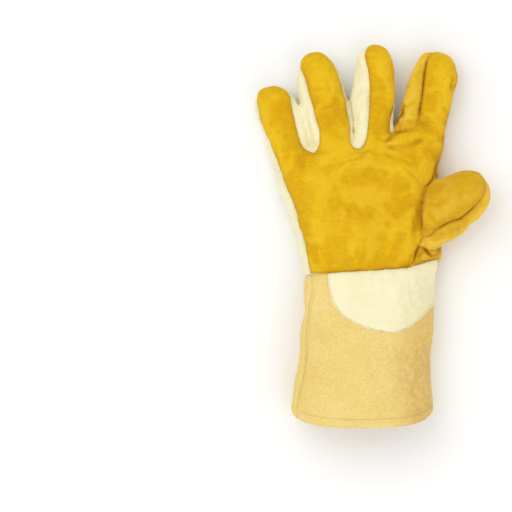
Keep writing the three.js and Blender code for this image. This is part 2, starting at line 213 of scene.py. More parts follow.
@dataclass(frozen=True)
class Crease:
    """A fine wrinkle along a line, in millimetres; lip is the roll beside it, waver its unevenness."""

    line: tuple[Point, ...]
    width: float
    depth: float
    lip: float = 0.4
    side: Side = Side.UP
    shade: float = 0.4
    waver: float = 1.1
    lip_at: float = 1.9
    lip_width: float = 1.1
    taper: float = 0.28
    wander_size: float = 7.0
    growth_size: float = 11.0
    growth: float = 1.36
    mean_loss: float = 0.14
    least: float = 0.15
    most: float = 1.3

    def mark(self, places: np.ndarray, normals: np.ndarray) -> Marks:
        """Work out the shape of the wrinkle, which wanders, grows and fades along its line.

        Args:
            places: Array of places in millimetres.
            normals: The surface's normals there.

        Returns:
            The wrinkle's marks.
        """
        distance, side, share = line_distance(places, smooth_line(self.line, 2.0))
        strength = unit(np.minimum(share, 1 - share) / self.taper) * facing(normals, self.side)
        close = distance < self.width * 6
        wander, growth = np.zeros(len(places)), np.zeros(len(places))
        if close.any():
            start = self.line[0][0]
            wander[close] = waver(places[close], self.wander_size, (start, 0, 40))
            growth[close] = waver(places[close], self.growth_size, (-start, 0, -40))
        across = distance * side / self.width + self.waver * wander
        uneven = 1 + self.waver * (self.growth * growth - self.mean_loss)
        strength *= np.clip(uneven, self.least, self.most)
        valley = bell(across, 1.0)
        bump = self.lip * bell(across - self.lip_at, self.lip_width) - self.depth * valley
        return bump * strength, self.shade * valley * strength


CREASES = (
    Crease(((-2.6, 96), (4.9, 89.8), (14.2, 88.6), (21.0, 92.0)), 1.8, 1.4, 0.7),
    Crease(
        ((-24, 73.2), (-9.8, 77.6), (4.5, 76.7), (18, 73.4), (28.2, 69.6), (40, 59)), 2.0, 1.1, 0.8, shade=0.3
    ),
    Crease(((-38, 57.7), (-31, 65), (-22, 69.4), (-9.8, 72.4), (4, 72)), 1.8, 0.8, 0.5, shade=0.2),
    Crease(((25.8, 64.8), (33, 58.6), (40, 50.6), (43, 44)), 1.6, 0.9, 0.5, shade=0.3),
    Crease(((5, 87), (19.8, 82.6), (34.6, 84.6), (47, 87), (60, 88)), 2.0, 1.3, 0.7, shade=0.35),
    Crease(((18, 93.4), (27, 96.8), (33, 97.6), (38, 96.2)), 1.5, 1.3, 0.8),
    Crease(((38, 107.2), (43, 104.8), (48.3, 103.2), (55.5, 104.2), (62, 107.2)), 1.9, 1.2, 0.7, shade=0.25),
    Crease(((73.2, 150), (72.6, 142), (71.4, 133)), 1.8, 1.2, 0.6),
    Crease(((-67.3, 76.5), (-67, 69), (-63.2, 62.5)), 1.7, 0.8, 0.5, shade=0.2),
    Crease(((-40, 60), (-40, 44), (-34, 32), (-18, 23), (5, 18), (26, 20)), 6.5, 0.9, 0.5, shade=0.06),
    Crease(((-24, 60), (-4, 60), (14, 55), (28, 44), (36, 32)), 5.0, 0.7, 0.6, shade=0.06),
    Crease(((-36, 135), (-32.3, 121), (-30.5, 104)), 2.6, 0.8, 0.5, shade=0.15),
    Crease(
        ((-20.8, 130), (-20.2, 126.5), (-18.8, 111), (-17.3, 99.2), (-16.4, 87)), 1.1, 2.4, 0.3, shade=1.1
    ),
    Crease(((-61.6, 128), (-59.4, 111), (-57.2, 95), (-56, 84)), 1.3, 1.9, 0.3, shade=0.12),
    Crease(((29.5, 124), (25.4, 112), (22.4, 103), (20.4, 96)), 2.5, 2.2, 0.4, shade=1.0),
    Crease(((23, 104.5), (29, 106.2), (36, 106.0), (40, 108.6)), 2.2, 0.6, 0.6, shade=0.1),
    Crease(
        ((46.6, -11.4), (49.6, -13.9), (52.6, -16.6), (54.0, -17.5), (55.6, -17.0)),
        *(1.2, 1.7, 0.8),
        shade=1.2,
        waver=0.1,
    ),
    Crease(
        ((52.6, -16.9), (55.4, -17.2), (58.4, -15.6), (61.2, -13.4)), 1.1, 1.1, 0.6, shade=0.45, waver=0.1
    ),
    Crease(
        ((43, -6.5), (49, -9.6), (53.6, -13.2), (57.0, -12.2), (61, -9)), 1.7, -0.8, 0.0, shade=0.0, waver=0.3
    ),
    Crease(((54, -9), (60, -12), (65, -14.5)), 2.2, 0.7, 0.3, shade=0.3),
    Crease(((66, 4.0), (75.8, 6.0), (84, 8.6)), 1.8, 1.0, 0.5, shade=0.3),
    Crease(((54, -3), (62, 1.5), (69, 3.0)), 2.0, 0.8, 0.5, shade=0.15),
    Crease(((45.5, -12), (42.5, -25)), 1.5, 0.8, 0.4, shade=0.3),
    Crease(((28, -36), (30, -56), (33, -80)), 6.5, 1.1, 0.6, shade=0.12),
    Crease(((22, -92), (25, -122), (26, -164)), 11.0, 1.2, 0.8, shade=0.12),
    Crease(((-62, -86), (-44, -92), (-30, -90)), 5.0, 0.9, 0.6, shade=0.1),
    Crease(((-64, -128), (-48, -133), (-38, -131)), 5.5, 0.8, 0.5, shade=0.1),
    Crease(((-76, 84), (-66, 80), (-56, 82)), 2.4, 1.2, 0.6, Side.DOWN),
    Crease(((-46, 88), (-34, 85), (-24, 88)), 2.4, 1.2, 0.6, Side.DOWN),
    Crease(((-14, 90), (0, 88), (14, 92)), 2.4, 1.2, 0.6, Side.DOWN),
    Crease(((30, 37.5), (42, 46), (58, 60)), 2.6, 1.0, 0.6, Side.DOWN),
)


@dataclass(frozen=True)
class Dent:
    """A soft dent of the cloth round a place of the plan, in millimetres; a negative depth swells."""

    x: float
    y: float
    reach: float
    depth: float

    def mark(self, places: np.ndarray, normals: np.ndarray) -> Marks:
        """Give the dent's marks, which are no darker than what lies round them."""
        gap = np.hypot(places[:, 0] - self.x, places[:, 1] - self.y)
        return -self.depth * bell(gap, self.reach), np.zeros(len(normals))


DENTS = (
    Dent(-66, -71, 9, 2.6),  # under the side seam's first tuck
    Dent(-70, -112, 16, 1.6),
    Dent(57, -124, 24, 1.2),
    Dent(60, -44, 14, 1.2),  # wrist, thumb side
    Dent(89.5, 11.0, 5, 1.4),  # tuck of the thumb's lower edge
    Dent(64, -9.5, 4, -0.8),
    Dent(99, 56.5, 4.5, -0.7),  # fullness of the fingertips
    Dent(-105, 136, 6, -1.0),
    Dent(-66.5, 165, 6, -1.4),
    Dent(79, 149, 9, -1.2),
    Dent(-70, 138, 10, 1.4),  # hollows of the fingers' sides
    Dent(-18, 157, 10, 1.3),
    Dent(-96, 71, 12, 1.5),  # outer edge of the hand
    Dent(-80, 29, 16, 1.9),
)

# Places where no thread draws the seam in: x, y and reach
LOOSE_SEAMS = ((33.0, 101.0, 9.5), (100.5, 56.0, 6.0))

PALM_LEFT_EDGE = (
    *((-57.8, -35.2), (-65.2, -2.8), (-74.2, 25.1), (-84.4, 53.0), (-91.8, 72.5), (-103.9, 105.1)),
    (-110.0, 126.0),
)
LITTLE_INNER_EDGE = (
    *((-79.0, 139.0), (-75.4, 127.5), (-72.6, 112.5), (-68.9, 95.0), (-64.8, 83.0), (-60.6, 78.6)),
    (-54.8, 77.2),
)
RING_OUTER_EDGE = (
    *((-51.4, 80.0), (-49.3, 87.4), (-49.1, 96.0), (-51.9, 106.0), (-56.0, 118.2), (-62.0, 137.2)),
    (-67.0, 154.0),
)
RING_INNER_EDGE = (
    *((-30.0, 152.0), (-28.6, 140.0), (-25.6, 125.9), (-23.9, 114.7), (-22.2, 99.5), (-20.9, 89.0)),
    *((-19.0, 83.0), (-16.0, 80.9)),
)
MIDDLE_OUTER_EDGE = (
    *((-11.4, 81.4), (-8.3, 86.0), (-5.8, 95.0), (-4.2, 111.2), (-3.1, 124.0), (-4.2, 142.8)),
    *((-7.7, 166.5), (-5.5, 174.0)),
)
MIDDLE_INNER_EDGE = ((24.0, 160.0), (23.0, 130.0), (19.0, 116.0), (16.6, 106.0), (16.3, 96.0))
INDEX_SEAM = (
    *((20.7, 95.8), (30.0, 99.5), (39.0, 101.5), (42.3, 109.7), (43.9, 120.2), (45.6, 134.4)),
    *((47.6, 154.0), (50.0, 164.5), (56.0, 172.0)),
)
THUMB_VALLEY = ((49.1, 45.0), (44.5, 34.9), (42.8, 23.6), (43.4, 12.4), (44.2, 5.0), (47.0, -2.0))
THUMB_SEAM = (
    *((52.3, -0.7), (56.9, 3.9), (64.8, 8.9), (73.2, 12.4), (81.7, 15.2), (89.0, 20.3), (94.6, 25.9)),
    *((100.3, 33.2), (103.2, 41.0), (103.4, 48.0), (100.0, 56.0)),
)
PALM_LOWER_EDGE = ((42.5, -9.1), (38.5, -25.2), (23.9, -29.4), (1.3, -31.6), (-21.2, -32.7), (-43.0, -34.4))
BACK_SEAM = ((18.0, 92.0), (10.5, 30.0), (3.0, -50.0))
INDEX_BACK_LOWER_EDGE = ((10.5, 30.0), (35.0, 34.5), (52.0, 39.5), (60.0, 48.0), (70.0, 52.0))
PATCH_EDGE = (
    *((-42.3, -26.0), (-42.0, -44.0), (-37.1, -62.6), (-26.7, -75.2), (-10.4, -84.2), (6.0, -88.6)),
    *((19.3, -90.0), (34.1, -84.2), (46.0, -74.4), (54.9, -64.2), (62.0, -48.0), (66.0, -20.0)),
)
CUFF_SEAM = (
    *((-58.5, -37.0), (-58.5, -53.8), (-62.5, -77.5), (-64.5, -113.1), (-67.0, -132.3), (-71.0, -150.0)),
    (-72.5, -190.0),
)


@dataclass(frozen=True)
class DrawnSeam:
    """A seam that its thread draws in deeply, with painted shade along it, so that it shows as a dark line;
    in millimetres.
    """

    line: tuple[Point, ...]
    width: float
    shade: float
    depth: float = 0.6
    side: Side = Side.UP
    slope: float = 0.7
    fade: float = 9.0

    def mark(self, places: np.ndarray, normals: np.ndarray) -> Marks:
        """Give the seam's marks, which fade at its two ends.

        Args:
            places: Array of places in millimetres.
            normals: The surface's normals there.

        Returns:
            The seam's marks.
        """
        distance, _, share = line_distance(places, smooth_line(self.line))
        seen = facing(normals, self.side) * unit(share * self.fade) * unit((1 - share) * self.fade)
        drop = self.depth * bell(distance, self.width + self.slope) * seen
        return -drop, self.shade * bell(distance, self.width) * seen


@dataclass(frozen=True)
class RaisedSeam:
    """A raised seam of the back, with a shaded foot beside it; in millimetres."""

    line: tuple[Point, ...]
    height: float = 1.1
    width: float = 1.9
    shade: float = 0.35
    foot: float = 3.4
    foot_width: float = 1.3
    fade: float = 12.0

    def mark(self, places: np.ndarray, normals: np.ndarray) -> Marks:
        """Give the seam's marks, which rise from its first end.

        Args:
            places: Array of places in millimetres.
            normals: The surface's normals there.

        Returns:
            The seam's marks.
        """
        distance, _, share = line_distance(places, smooth_line(self.line))
        seen = facing(normals, Side.DOWN)
        lift = self.height * bell(distance, self.width) * seen * unit(share * self.fade)
        return lift, self.shade * bell(distance - self.foot, self.foot_width) * seen


DRAWN_SEAMS = (
    DrawnSeam(INDEX_SEAM[3:-1], 0.75, 0.75),
    DrawnSeam(THUMB_SEAM[1:-4], 0.9, 0.6, 0.7),
    DrawnSeam(THUMB_VALLEY[1:-1], 3.0, 0.26, 1.0),
    DrawnSeam(PALM_LOWER_EDGE[:2], 0.9, 0.6),
    DrawnSeam(INDEX_BACK_LOWER_EDGE[:4], 1.1, 0.6, side=Side.DOWN),
)
RAISED_SEAMS = (
    RaisedSeam(((-14.0, 80.0), (-18.0, 60.0), (-21.0, 41.0), (-22.0, 21.0), (-22.0, -34.0))),
    RaisedSeam(((-54.0, 75.0), (-58.0, 56.0), (-56.0, 40.0), (-52.0, 10.0), (-49.0, -34.0))),
)


def bell(distance: np.ndarray, width: float) -> np.ndarray:
    """Give 1 where the distance is none, falling away smoothly over the width."""
    return np.exp(-((distance / width) ** 2))


def unit(values: np.ndarray) -> np.ndarray:
    """Clip values to the range from 0 to 1."""
    return np.clip(values, 0, 1)


def facing(normals: np.ndarray, side: Side) -> np.ndarray:
    """Tell how far the surface faces a side of the lying glove, from 0 to 1."""
    return unit(normals[:, 2] * side.value / 0.3)


def waver(places: np.ndarray, size: float, start: Sequence[float] = (0, 0, 0)) -> np.ndarray:
    """Give a smooth unevenness of a size in millimetres, between -1 and 1, at each place."""
    return np.array([noise.noise(Vector(place) / size + Vector(start)) for place in places])


def spline(rows: Sequence[Sequence[float]], step: float) -> np.ndarray:
    """Lay a smooth curve through the rows of a table.

    Args:
        rows: Rows of numbers, the first two of which are a place in the plan.
        step: Greatest distance between two rows of the result.

    Returns:
        The refined rows.
    """
    table = np.array(rows, dtype=float)
    out = [table[0]]
    for i in range(len(table) - 1):
        p0, p1, p2, p3 = table[max(i - 1, 0)], table[i], table[i + 1], table[min(i + 2, len(table) - 1)]
        count = max(1, math.ceil(float(np.linalg.norm((p2 - p1)[:2])) / step))
        for k in range(1, count + 1):
            t = k / count
            out.append(
                0.5
                * (
                    2 * p1
                    + (p2 - p0) * t
                    + (2 * p0 - 5 * p1 + 4 * p2 - p3) * t**2
                    + (3 * p1 - p0 - 3 * p2 + p3) * t**3
                )
            )
    return np.array(out)


def smooth_line(points: Sequence[Point], step: float = 3.0) -> tuple[Point, ...]:
    """Give a line of the plan its smooth curve, as points."""
    return tuple(map(tuple, spline(points, step)))


def signed_distance(places: np.ndarray, outline: Sequence[Point]) -> np.ndarray:
    """Measure how deep places lie inside a closed outline of the plan.

    Args:
        places: Array of places, of which x and y are read.
        outline: Corners of the outline.

    Returns:
        The distance to the outline, positive inside.
    """
    x, y = places[:, 0], places[:, 1]
    nearest = np.full(len(places), 1e9)
    inside = np.zeros(len(places), dtype=bool)
    corners = list(outline)
    for (ax, ay), (bx, by) in zip(corners, corners[1:] + corners[:1]):
        dx, dy = bx - ax, by - ay
        length = dx * dx + dy * dy
        if length < 1e-12:
            continue
        t = np.clip(((x - ax) * dx + (y - ay) * dy) / length, 0, 1)
        nearest = np.minimum(nearest, (x - ax - t * dx) ** 2 + (y - ay - t * dy) ** 2)
        if ay != by:
            crosses = ((ay > y) != (by > y)) & (x < dx * (y - ay) / dy + ax)
            inside ^= crosses
    return np.where(inside, 1.0, -1.0) * np.sqrt(nearest)


def line_distance(places: np.ndarray, line: Sequence[Point]) -> tuple[np.ndarray, np.ndarray, np.ndarray]:
    """Measure places against an open line of the plan.

    Args:
        places: Array of places, of which x and y are read.
        line: Points of the line.

    Returns:
        The distance, the side (1 left, -1 right), and the share of the length at the nearest point.
    """
    x, y = places[:, 0], places[:, 1]
    nearest = np.full(len(places), 1e9)
    side = np.ones(len(places))
    share = np.zeros(len(places))
    points = np.array(line)
    lengths = np.linalg.norm(np.diff(points, axis=0), axis=1)
    total, run = float(lengths.sum()), 0.0
    for (ax, ay), (bx, by), length in zip(points[:-1], points[1:], lengths):
        dx, dy = bx - ax, by - ay
        t = np.clip(((x - ax) * dx + (y - ay) * dy) / max(length**2, 1e-12), 0, 1)
        distance = (x - ax - t * dx) ** 2 + (y - ay - t * dy) ** 2
        closer = distance < nearest
        nearest = np.where(closer, distance, nearest)
        side = np.where(closer, np.sign(dx * (y - ay) - dy * (x - ax)), side)
        share = np.where(closer, (run + t * length) / total, share)
        run += float(length)
    return np.sqrt(nearest), side, share


@dataclass(frozen=True)
class Slab:
    """An upright prism over a plan outline, between two heights that waver a little."""

    outline: tuple[Point, ...]
    low: float
    high: float
    waver: float = 0.5
    turns_x: float = 0.11
    turns_y: float = 0.19

    def depth(self, places: np.ndarray) -> np.ndarray:
        """Measure how deep places lie inside the prism.

        Args:
            places: Array of places in millimetres.

        Returns:
            The depths in millimetres.
        """
        turns = self.turns_x * places[:, 0] + self.turns_y * places[:, 1]
        height = places[:, 2] + self.waver * np.sin(turns)
        between = np.minimum(height - self.low, self.high - height)
        return np.minimum(signed_distance(places, self.outline), between)


@dataclass(frozen=True)
class Region:
    """The one or more shapes that a panel fills."""

    slabs: tuple["Slab | SlantedSeam", ...]

    def depth(self, places: np.ndarray) -> np.ndarray:
        """Measure how deep places lie inside the region, in millimetres."""
        return np.max([slab.depth(places) for slab in self.slabs], axis=0)


@dataclass(frozen=True)
class SlantedSeam:
    """A seam round the wrist, at low where the glove lies and at high from the height top upwards."""

    low: float
    high: float
    top: float
    slant_deg: float

    def depth(self, places: np.ndarray) -> np.ndarray:
        """Measure how far places lie on the cuff's side of the seam.

        Args:
            places: Array of places in millimetres.

        Returns:
            The distances in millimetres.
        """
        slant = math.radians(self.slant_deg)
        run = places[:, 1] * math.cos(slant) - places[:, 0] * math.sin(slant)
        seam = self.low + (self.high - self.low) * np.clip(places[:, 2] / self.top, 0, 1)
        return seam - run


# The wrist seam is steeper where it passes round under the thumb
BELOW_WRIST = Region((SlantedSeam(-41.0, -30.0, 46.0, 3.5), SlantedSeam(-55.0, -37.8, 22.0, 16.0)))


@dataclass(frozen=True)
class Hem:
    """The open end of the cuff, whose corners are rounded in the plan, with its turned and stitched hem."""

    centre_x: float = -10.3
    half: float = 65.3
    side_y: float = -157.0
    middle_y: float = -177.0
    power: float = 2.8
    width: float = 8.0
    thick: float = 0.45
    step: float = 0.5
    edge_drop: float = 0.9
    edge_width: float = 0.8
    groove: float = 0.45
    groove_width: float = 0.9
    shade: float = 0.1

    def edge(self, x: np.ndarray) -> np.ndarray:
        """Give the hem's y at each x of the plan."""
        share = np.clip(np.abs(x - self.centre_x) / self.half, 0, 1)
        return self.side_y + (self.middle_y - self.side_y) * (1 - share**self.power) ** (1 / self.power)

    def depth(self, places: np.ndarray) -> np.ndarray:
        """Measure how far places lie on the glove's side of the hem, in millimetres."""
        return places[:, 1] - self.edge(places[:, 0])

    def mark(self, places: np.ndarray, normals: np.ndarray) -> Marks:
        """Give the hem's marks: thicker where it is turned, rounded at its edge, drawn in by its thread, with
        painted shade in the thread's groove.

        Args:
            places: Array of places in millimetres.
            normals: The surface's normals there, which make no difference to a hem.

        Returns:
            The hem's marks.
        """
        turned = self.depth(places)
        sewn = bell(turned - self.width, self.groove_width)
        rise = self.thick / (1 + np.exp((turned - self.width) / self.step))
        return rise - self.edge_drop * bell(turned, self.edge_width) - self.groove * sewn, self.shade * sewn


HEM = Hem()


def make_regions() -> dict[Panel, Region]:
    """Lay out the regions of all panels but the last, which is what remains.

    Returns:
        The region of each panel, in the order that they are taken.
    """
    valley = smooth_line(THUMB_VALLEY)
    thumb_seam = smooth_line(THUMB_SEAM)
    index_seam = smooth_line(INDEX_SEAM)
    index_side = (*index_seam, (56, 184), (31, 184), (27, 140), (20.5, 112), (19.5, 95))
    lower_index = smooth_line(INDEX_BACK_LOWER_EDGE)
    palm = (
        *smooth_line(PALM_LEFT_EDGE),
        (-106, 146),
        (-88, 148),
        *smooth_line(LITTLE_INNER_EDGE),
        *smooth_line(RING_OUTER_EDGE),
        (-70, 178),
        (-36, 180),
        *smooth_line(RING_INNER_EDGE),
        *smooth_line(MIDDLE_OUTER_EDGE),
        (-6, 186),
        (22, 186),
        *smooth_line(MIDDLE_INNER_EDGE),
        *index_seam,
        (60, 182),
        (90, 170),
        (84, 130),
        (76, 100),
        (70, 80),
        (66, 60),
        (58, 51),
        *valley,
        *PALM_LOWER_EDGE[:2],
        *smooth_line(PALM_LOWER_EDGE[1:]),
    )
    little_ring = (
        *((-52, 62), (-66, 66), (-77, 84), (-84.4, 104.2), (-90, 119), (-98, 148), (-57, 182)),
        *((-48.1, 135.8), (-43.9, 119), (-40.7, 100.4), (-38, 84), (-42, 68)),
    )
    ring_middle = (
        *((-24, 66), (-36, 76), (-40.7, 100.4), (-43.9, 119), (-48.1, 135.8), (-57, 182), (1.5, 186)),
        *((1.2, 137.6), (0.2, 121.8), (-0.2, 103.2), (-2, 86), (-8, 70)),
    )
    middle_index = (
        *((7, 72), (0, 88), (-0.2, 103.2), (0.2, 121.8), (1.2, 137.6), (1.5, 186), (31, 186), (27, 140)),
        *((20.5, 112), (19.5, 95), (19, 88), (14, 76)),
    )
    thumb_upper = (
        *((46.5, -1), (41.5, -9.5), (50, -12.5), (62, -12), (90, -4), (118, 20), (122, 70), (62, 72)),
        *((57, 53), (46, 30)),
    )
    thumb_lower = ((58.5, -8), (90, -12), (118, 20), (122, 70), (66, 72), (58.5, 52))
    index_back = (*lower_index, (96, 80), (100, 184), (31, 184), (27, 140), (20.5, 112), (19.5, 95), (18, 92))
    saddle = (*BACK_SEAM, (90, -50), (90, 60), (70, 52), *reversed(lower_index))
    return {
        Panel.THUMB_FRONT: Region((Slab((*valley, *thumb_seam, (98, 72), (62, 72), (56, 53)), 27, 90),)),
        Panel.THUMB_BACK: Region((Slab(thumb_upper, 20, 90), Slab(thumb_lower, -20, 40))),
        Panel.PALM: Region((Slab(palm, 17, 90),)),
        Panel.CUFF: BELOW_WRIST,
        Panel.INDEX_SIDE: Region((Slab(index_side, 8, 90),)),
        Panel.INDEX_BACK: Region((Slab(index_back, -20, 90),)),
        Panel.SADDLE: Region((Slab(saddle, -20, 90),)),
        Panel.LITTLE_RING: Region((Slab(little_ring, 8, 90),)),
        Panel.RING_MIDDLE: Region((Slab(ring_middle, 8, 90),)),
        Panel.MIDDLE_INDEX: Region((Slab(middle_index, 8, 90),)),
    }


@dataclass
class Loft:
    """A closed sleeve through cross-sections, the rough form of the hand or of one digit."""

    sections: Sequence[Section]
    tip: tuple[float, float, float] | None = None
    sides: int = 72
    step: float = 4.0

    def rows(self) -> np.ndarray:
        """Refine the sections, and round them off at the tip.

        Returns:
            Rows of x, y, half, low, high and lean.
        """
        table = spline([(s.x, s.y, s.half, s.low, s.high, s.lean) for s in self.sections], self.step)
        if self.tip is None:
            return table
        last = table[-1]
        cap = []
        for angle in np.radians(np.linspace(CAP_END_DEG / CAP_STEPS, CAP_END_DEG, CAP_STEPS)):
            along, keep = math.sin(angle), math.cos(angle)
            middle = (last[3] + last[4]) / 2 * (1 - along) + self.tip[2] * along
            rise = (last[4] - last[3]) / 2 * keep
            x, y = last[:2] * (1 - along) + np.array(self.tip[:2]) * along
            cap.append([x, y, last[2] * keep, middle - rise, middle + rise, last[5]])
        return np.vstack([table, cap])

    @staticmethod
    def fold_depth(x: float, y: float) -> float:
        """Add up how far the folds lower the upper side at a place of the plan.

        Args:
            x: The place's x in millimetres.
            y: The place's y in millimetres.

        Returns:
            The depth in millimetres.
        """
        depth = 0.0
        for fold in FOLDS:
            heading = math.radians(fold.heading)
            along = (x - fold.x) * math.cos(heading) + (y - fold.y) * math.sin(heading)
            across = (y - fold.y) * math.cos(heading) - (x - fold.x) * math.sin(heading)
            depth += fold.depth * math.exp(-((along / fold.reach) ** 2) - (across / fold.breadth) ** 2)
        return depth

    def place(self, row: np.ndarray, across: float, rise: float) -> Vector:
        """Find a point of one section.

        Args:
            row: The section's x, y, half, low, high and lean.
            across: Cosine of the point's angle round the section.
            rise: Sine of that angle.

        Returns:
            The point, in metres, in the frame.
        """
        x, y, half, low, high, lean = row
        middle = low + (high - low) * WIDEST_AT
        power = TOP_POWER if rise > 0 else BOTTOM_POWER
        reach = half * math.copysign(abs(across) ** (2 / power), across)
        height = math.copysign(abs(rise) ** (2 / power), rise) * (high - middle if rise > 0 else middle - low)
        lean = math.radians(lean)
        px, py = x + reach * math.cos(lean), y - reach * math.sin(lean)
        share = max(height / max(high - middle, 1e-6), 0.0)
        place = np.array([px, py, middle + height - share * self.fold_depth(px, py)])
        return Vector((place - MIDDLE) * MM)

    def build(self) -> bpy.types.Mesh:
        """Make the sleeve: a round bar cut into as many rings as there are sections, each moved onto its own.

        Returns:
            The closed mesh.
        """
        rows = self.rows()
        count = len(rows) - 1
        sleeve = bmesh.new()
        bmesh.ops.create_cone(sleeve, cap_ends=True, segments=self.sides, radius1=1, radius2=1, depth=count)
        upright = [e for e in sleeve.edges if abs(e.verts[0].co.z - e.verts[1].co.z) > count / 2]
        bmesh.ops.subdivide_edges(sleeve, edges=upright, cuts=count - 1)
        for vert in sleeve.verts:
            row = rows[round(vert.co.z + count / 2)]
            vert.co = self.place(row, vert.co.x, vert.co.y)
        bmesh.ops.recalc_face_normals(sleeve, faces=sleeve.faces)
        return store("sleeve", sleeve)


def store(name: str, shape: bmesh.types.BMesh) -> bpy.types.Mesh:
    """Turn a shape into mesh data.

    Args:
        name: The data's name.
        shape: The shape, which is freed.

    Returns:
        The data.
    """
    data = bpy.data.meshes.new(name)
    shape.to_mesh(data)
    shape.free()
    return data


def add_object(name: str, data: bpy.types.ID) -> bpy.types.Object:
    """Put an object with this data into the scene.

    Args:
        name: The object's name.
        data: Its mesh, light or camera.

    Returns:
        The object.
    """
    thing = bpy.data.objects.new(name, data)
    bpy.context.scene.collection.objects.link(thing)
    return thing


def places_of(mesh: bmesh.types.BMesh, layer: str | None = None) -> np.ndarray:
    """Read a mesh's places in the tables' millimetres.

    Args:
        mesh: The mesh.
        layer: Name of a vector layer to read instead of where the points are now.

    Returns:
        An array with one row for each vertex.
    """
    if layer is None:
        places = [vert.co[:] for vert in mesh.verts]
    else:
        kept = mesh.verts.layers.float_vector[layer]
        places = [vert[kept][:] for vert in mesh.verts]
    return np.array(places) / MM + MIDDLE


def through_modifier(mesh: bmesh.types.BMesh, kind: str, **settings: object) -> bmesh.types.BMesh:
    """Pass a mesh through a modifier and take the result.

    Args:
        mesh: The mesh, which is freed.
        kind: The modifier's kind.
        **settings: Its settings.

    Returns:
        The new mesh.
    """
    holder = add_object("passing", store("passing", mesh))
    data = holder.data
    modifier = holder.modifiers.new(kind.lower(), kind)
    for name, value in settings.items():
        setattr(modifier, name, value)
    passed = holder.evaluated_get(bpy.context.evaluated_depsgraph_get())
    result = bmesh.new()
    result.from_mesh(passed.to_mesh())
    passed.to_mesh_clear()
    bpy.data.objects.remove(holder)
    bpy.data.meshes.remove(data)
    return result


@dataclass(frozen=True)
class SettlingCloth:
    """How the skin's cloth behaves while it settles: its stiffness, its spare cloth and its pressure."""

    quality: int = 5
    mass: float = 0.3
    tension_stiffness: float = 15.0
    compression_stiffness: float = 15.0
    shear_stiffness: float = 5.0
    bending_stiffness: float = 0.2
    use_pressure: bool = True
    uniform_pressure_force: float = 0.5
    shrink_min: float = -0.025
    shrink_max: float = 0.035


@dataclass(frozen=True)
class SeamMarks:
    """What every seam does to the skin, in millimetres: a groove, puffed cloth, and painted shade, a dark
    line with a wider fade.
    """

    depth: float = 1.1
    width: float = 1.6
    unevenness: float = 0.9
    slack: float = 0.9
    puff: float = 0.5
    puff_at: float = 5.5
    puff_width: float = 3.2
    pucker: float = 0.4
    pucker_everywhere: float = 0.2
    pucker_reach: float = 7.0
    # The seam's dark line and the wider fade beside it are painted shade
    line: float = 0.34
    line_width: float = 0.9
    seam_shade: float = 0.17
    seam_shade_reach: float = 3.0

    def mark(self, places: np.ndarray, near: np.ndarray, ripple: np.ndarray, waves: np.ndarray) -> Marks:
        """Work out the seams' marks.

        Args:
            places: Array of places in millimetres.
            near: Distance to the nearest seam.
            ripple: Fine unevenness of the cloth.
            waves: Coarser unevenness of the cloth.

        Returns:
            The marks.
        """
        uneven = np.clip(1 + self.unevenness * waves, 0.4, 1.6)
        drawn = np.ones(len(places))
        for x, y, reach in LOOSE_SEAMS:
            drawn -= self.slack * bell(np.hypot(places[:, 0] - x, places[:, 1] - y), reach)
        shift = self.puff * bell(near - self.puff_at, self.puff_width)
        shift -= self.depth * uneven * drawn * bell(near, self.width)
        shift += self.pucker * ripple * (self.pucker_everywhere + np.exp(-near / self.pucker_reach))
        seam_shade = self.seam_shade * uneven * np.exp(-near / self.seam_shade_reach)
        return shift, drawn * (self.line * bell(near, self.line_width) + seam_shade)


@dataclass(frozen=True)
class CuffPaintedShade:
    """Painted shade on the cuff, which deepens towards its thumb side and its open end; in millimetres."""

    strength: float = 0.5
    from_x: float = 13.0
    over_x: float = 27.0
    from_y: float = -15.0
    over_y: float = 95.0
    power: float = 1.3

    def shade(self, places: np.ndarray, normals: np.ndarray) -> np.ndarray:
        """Give how dark the painted shade makes each place.

        Args:
            places: Array of places in millimetres.
            normals: The surface's normals there.

        Returns:
            The shade of each place.
        """
        across = unit((places[:, 0] - self.from_x) / self.over_x) * facing(normals, Side.UP)
        along = unit((self.from_y - places[:, 1]) / self.over_y)
        return self.strength * on_cuff(places) * across**self.power * along


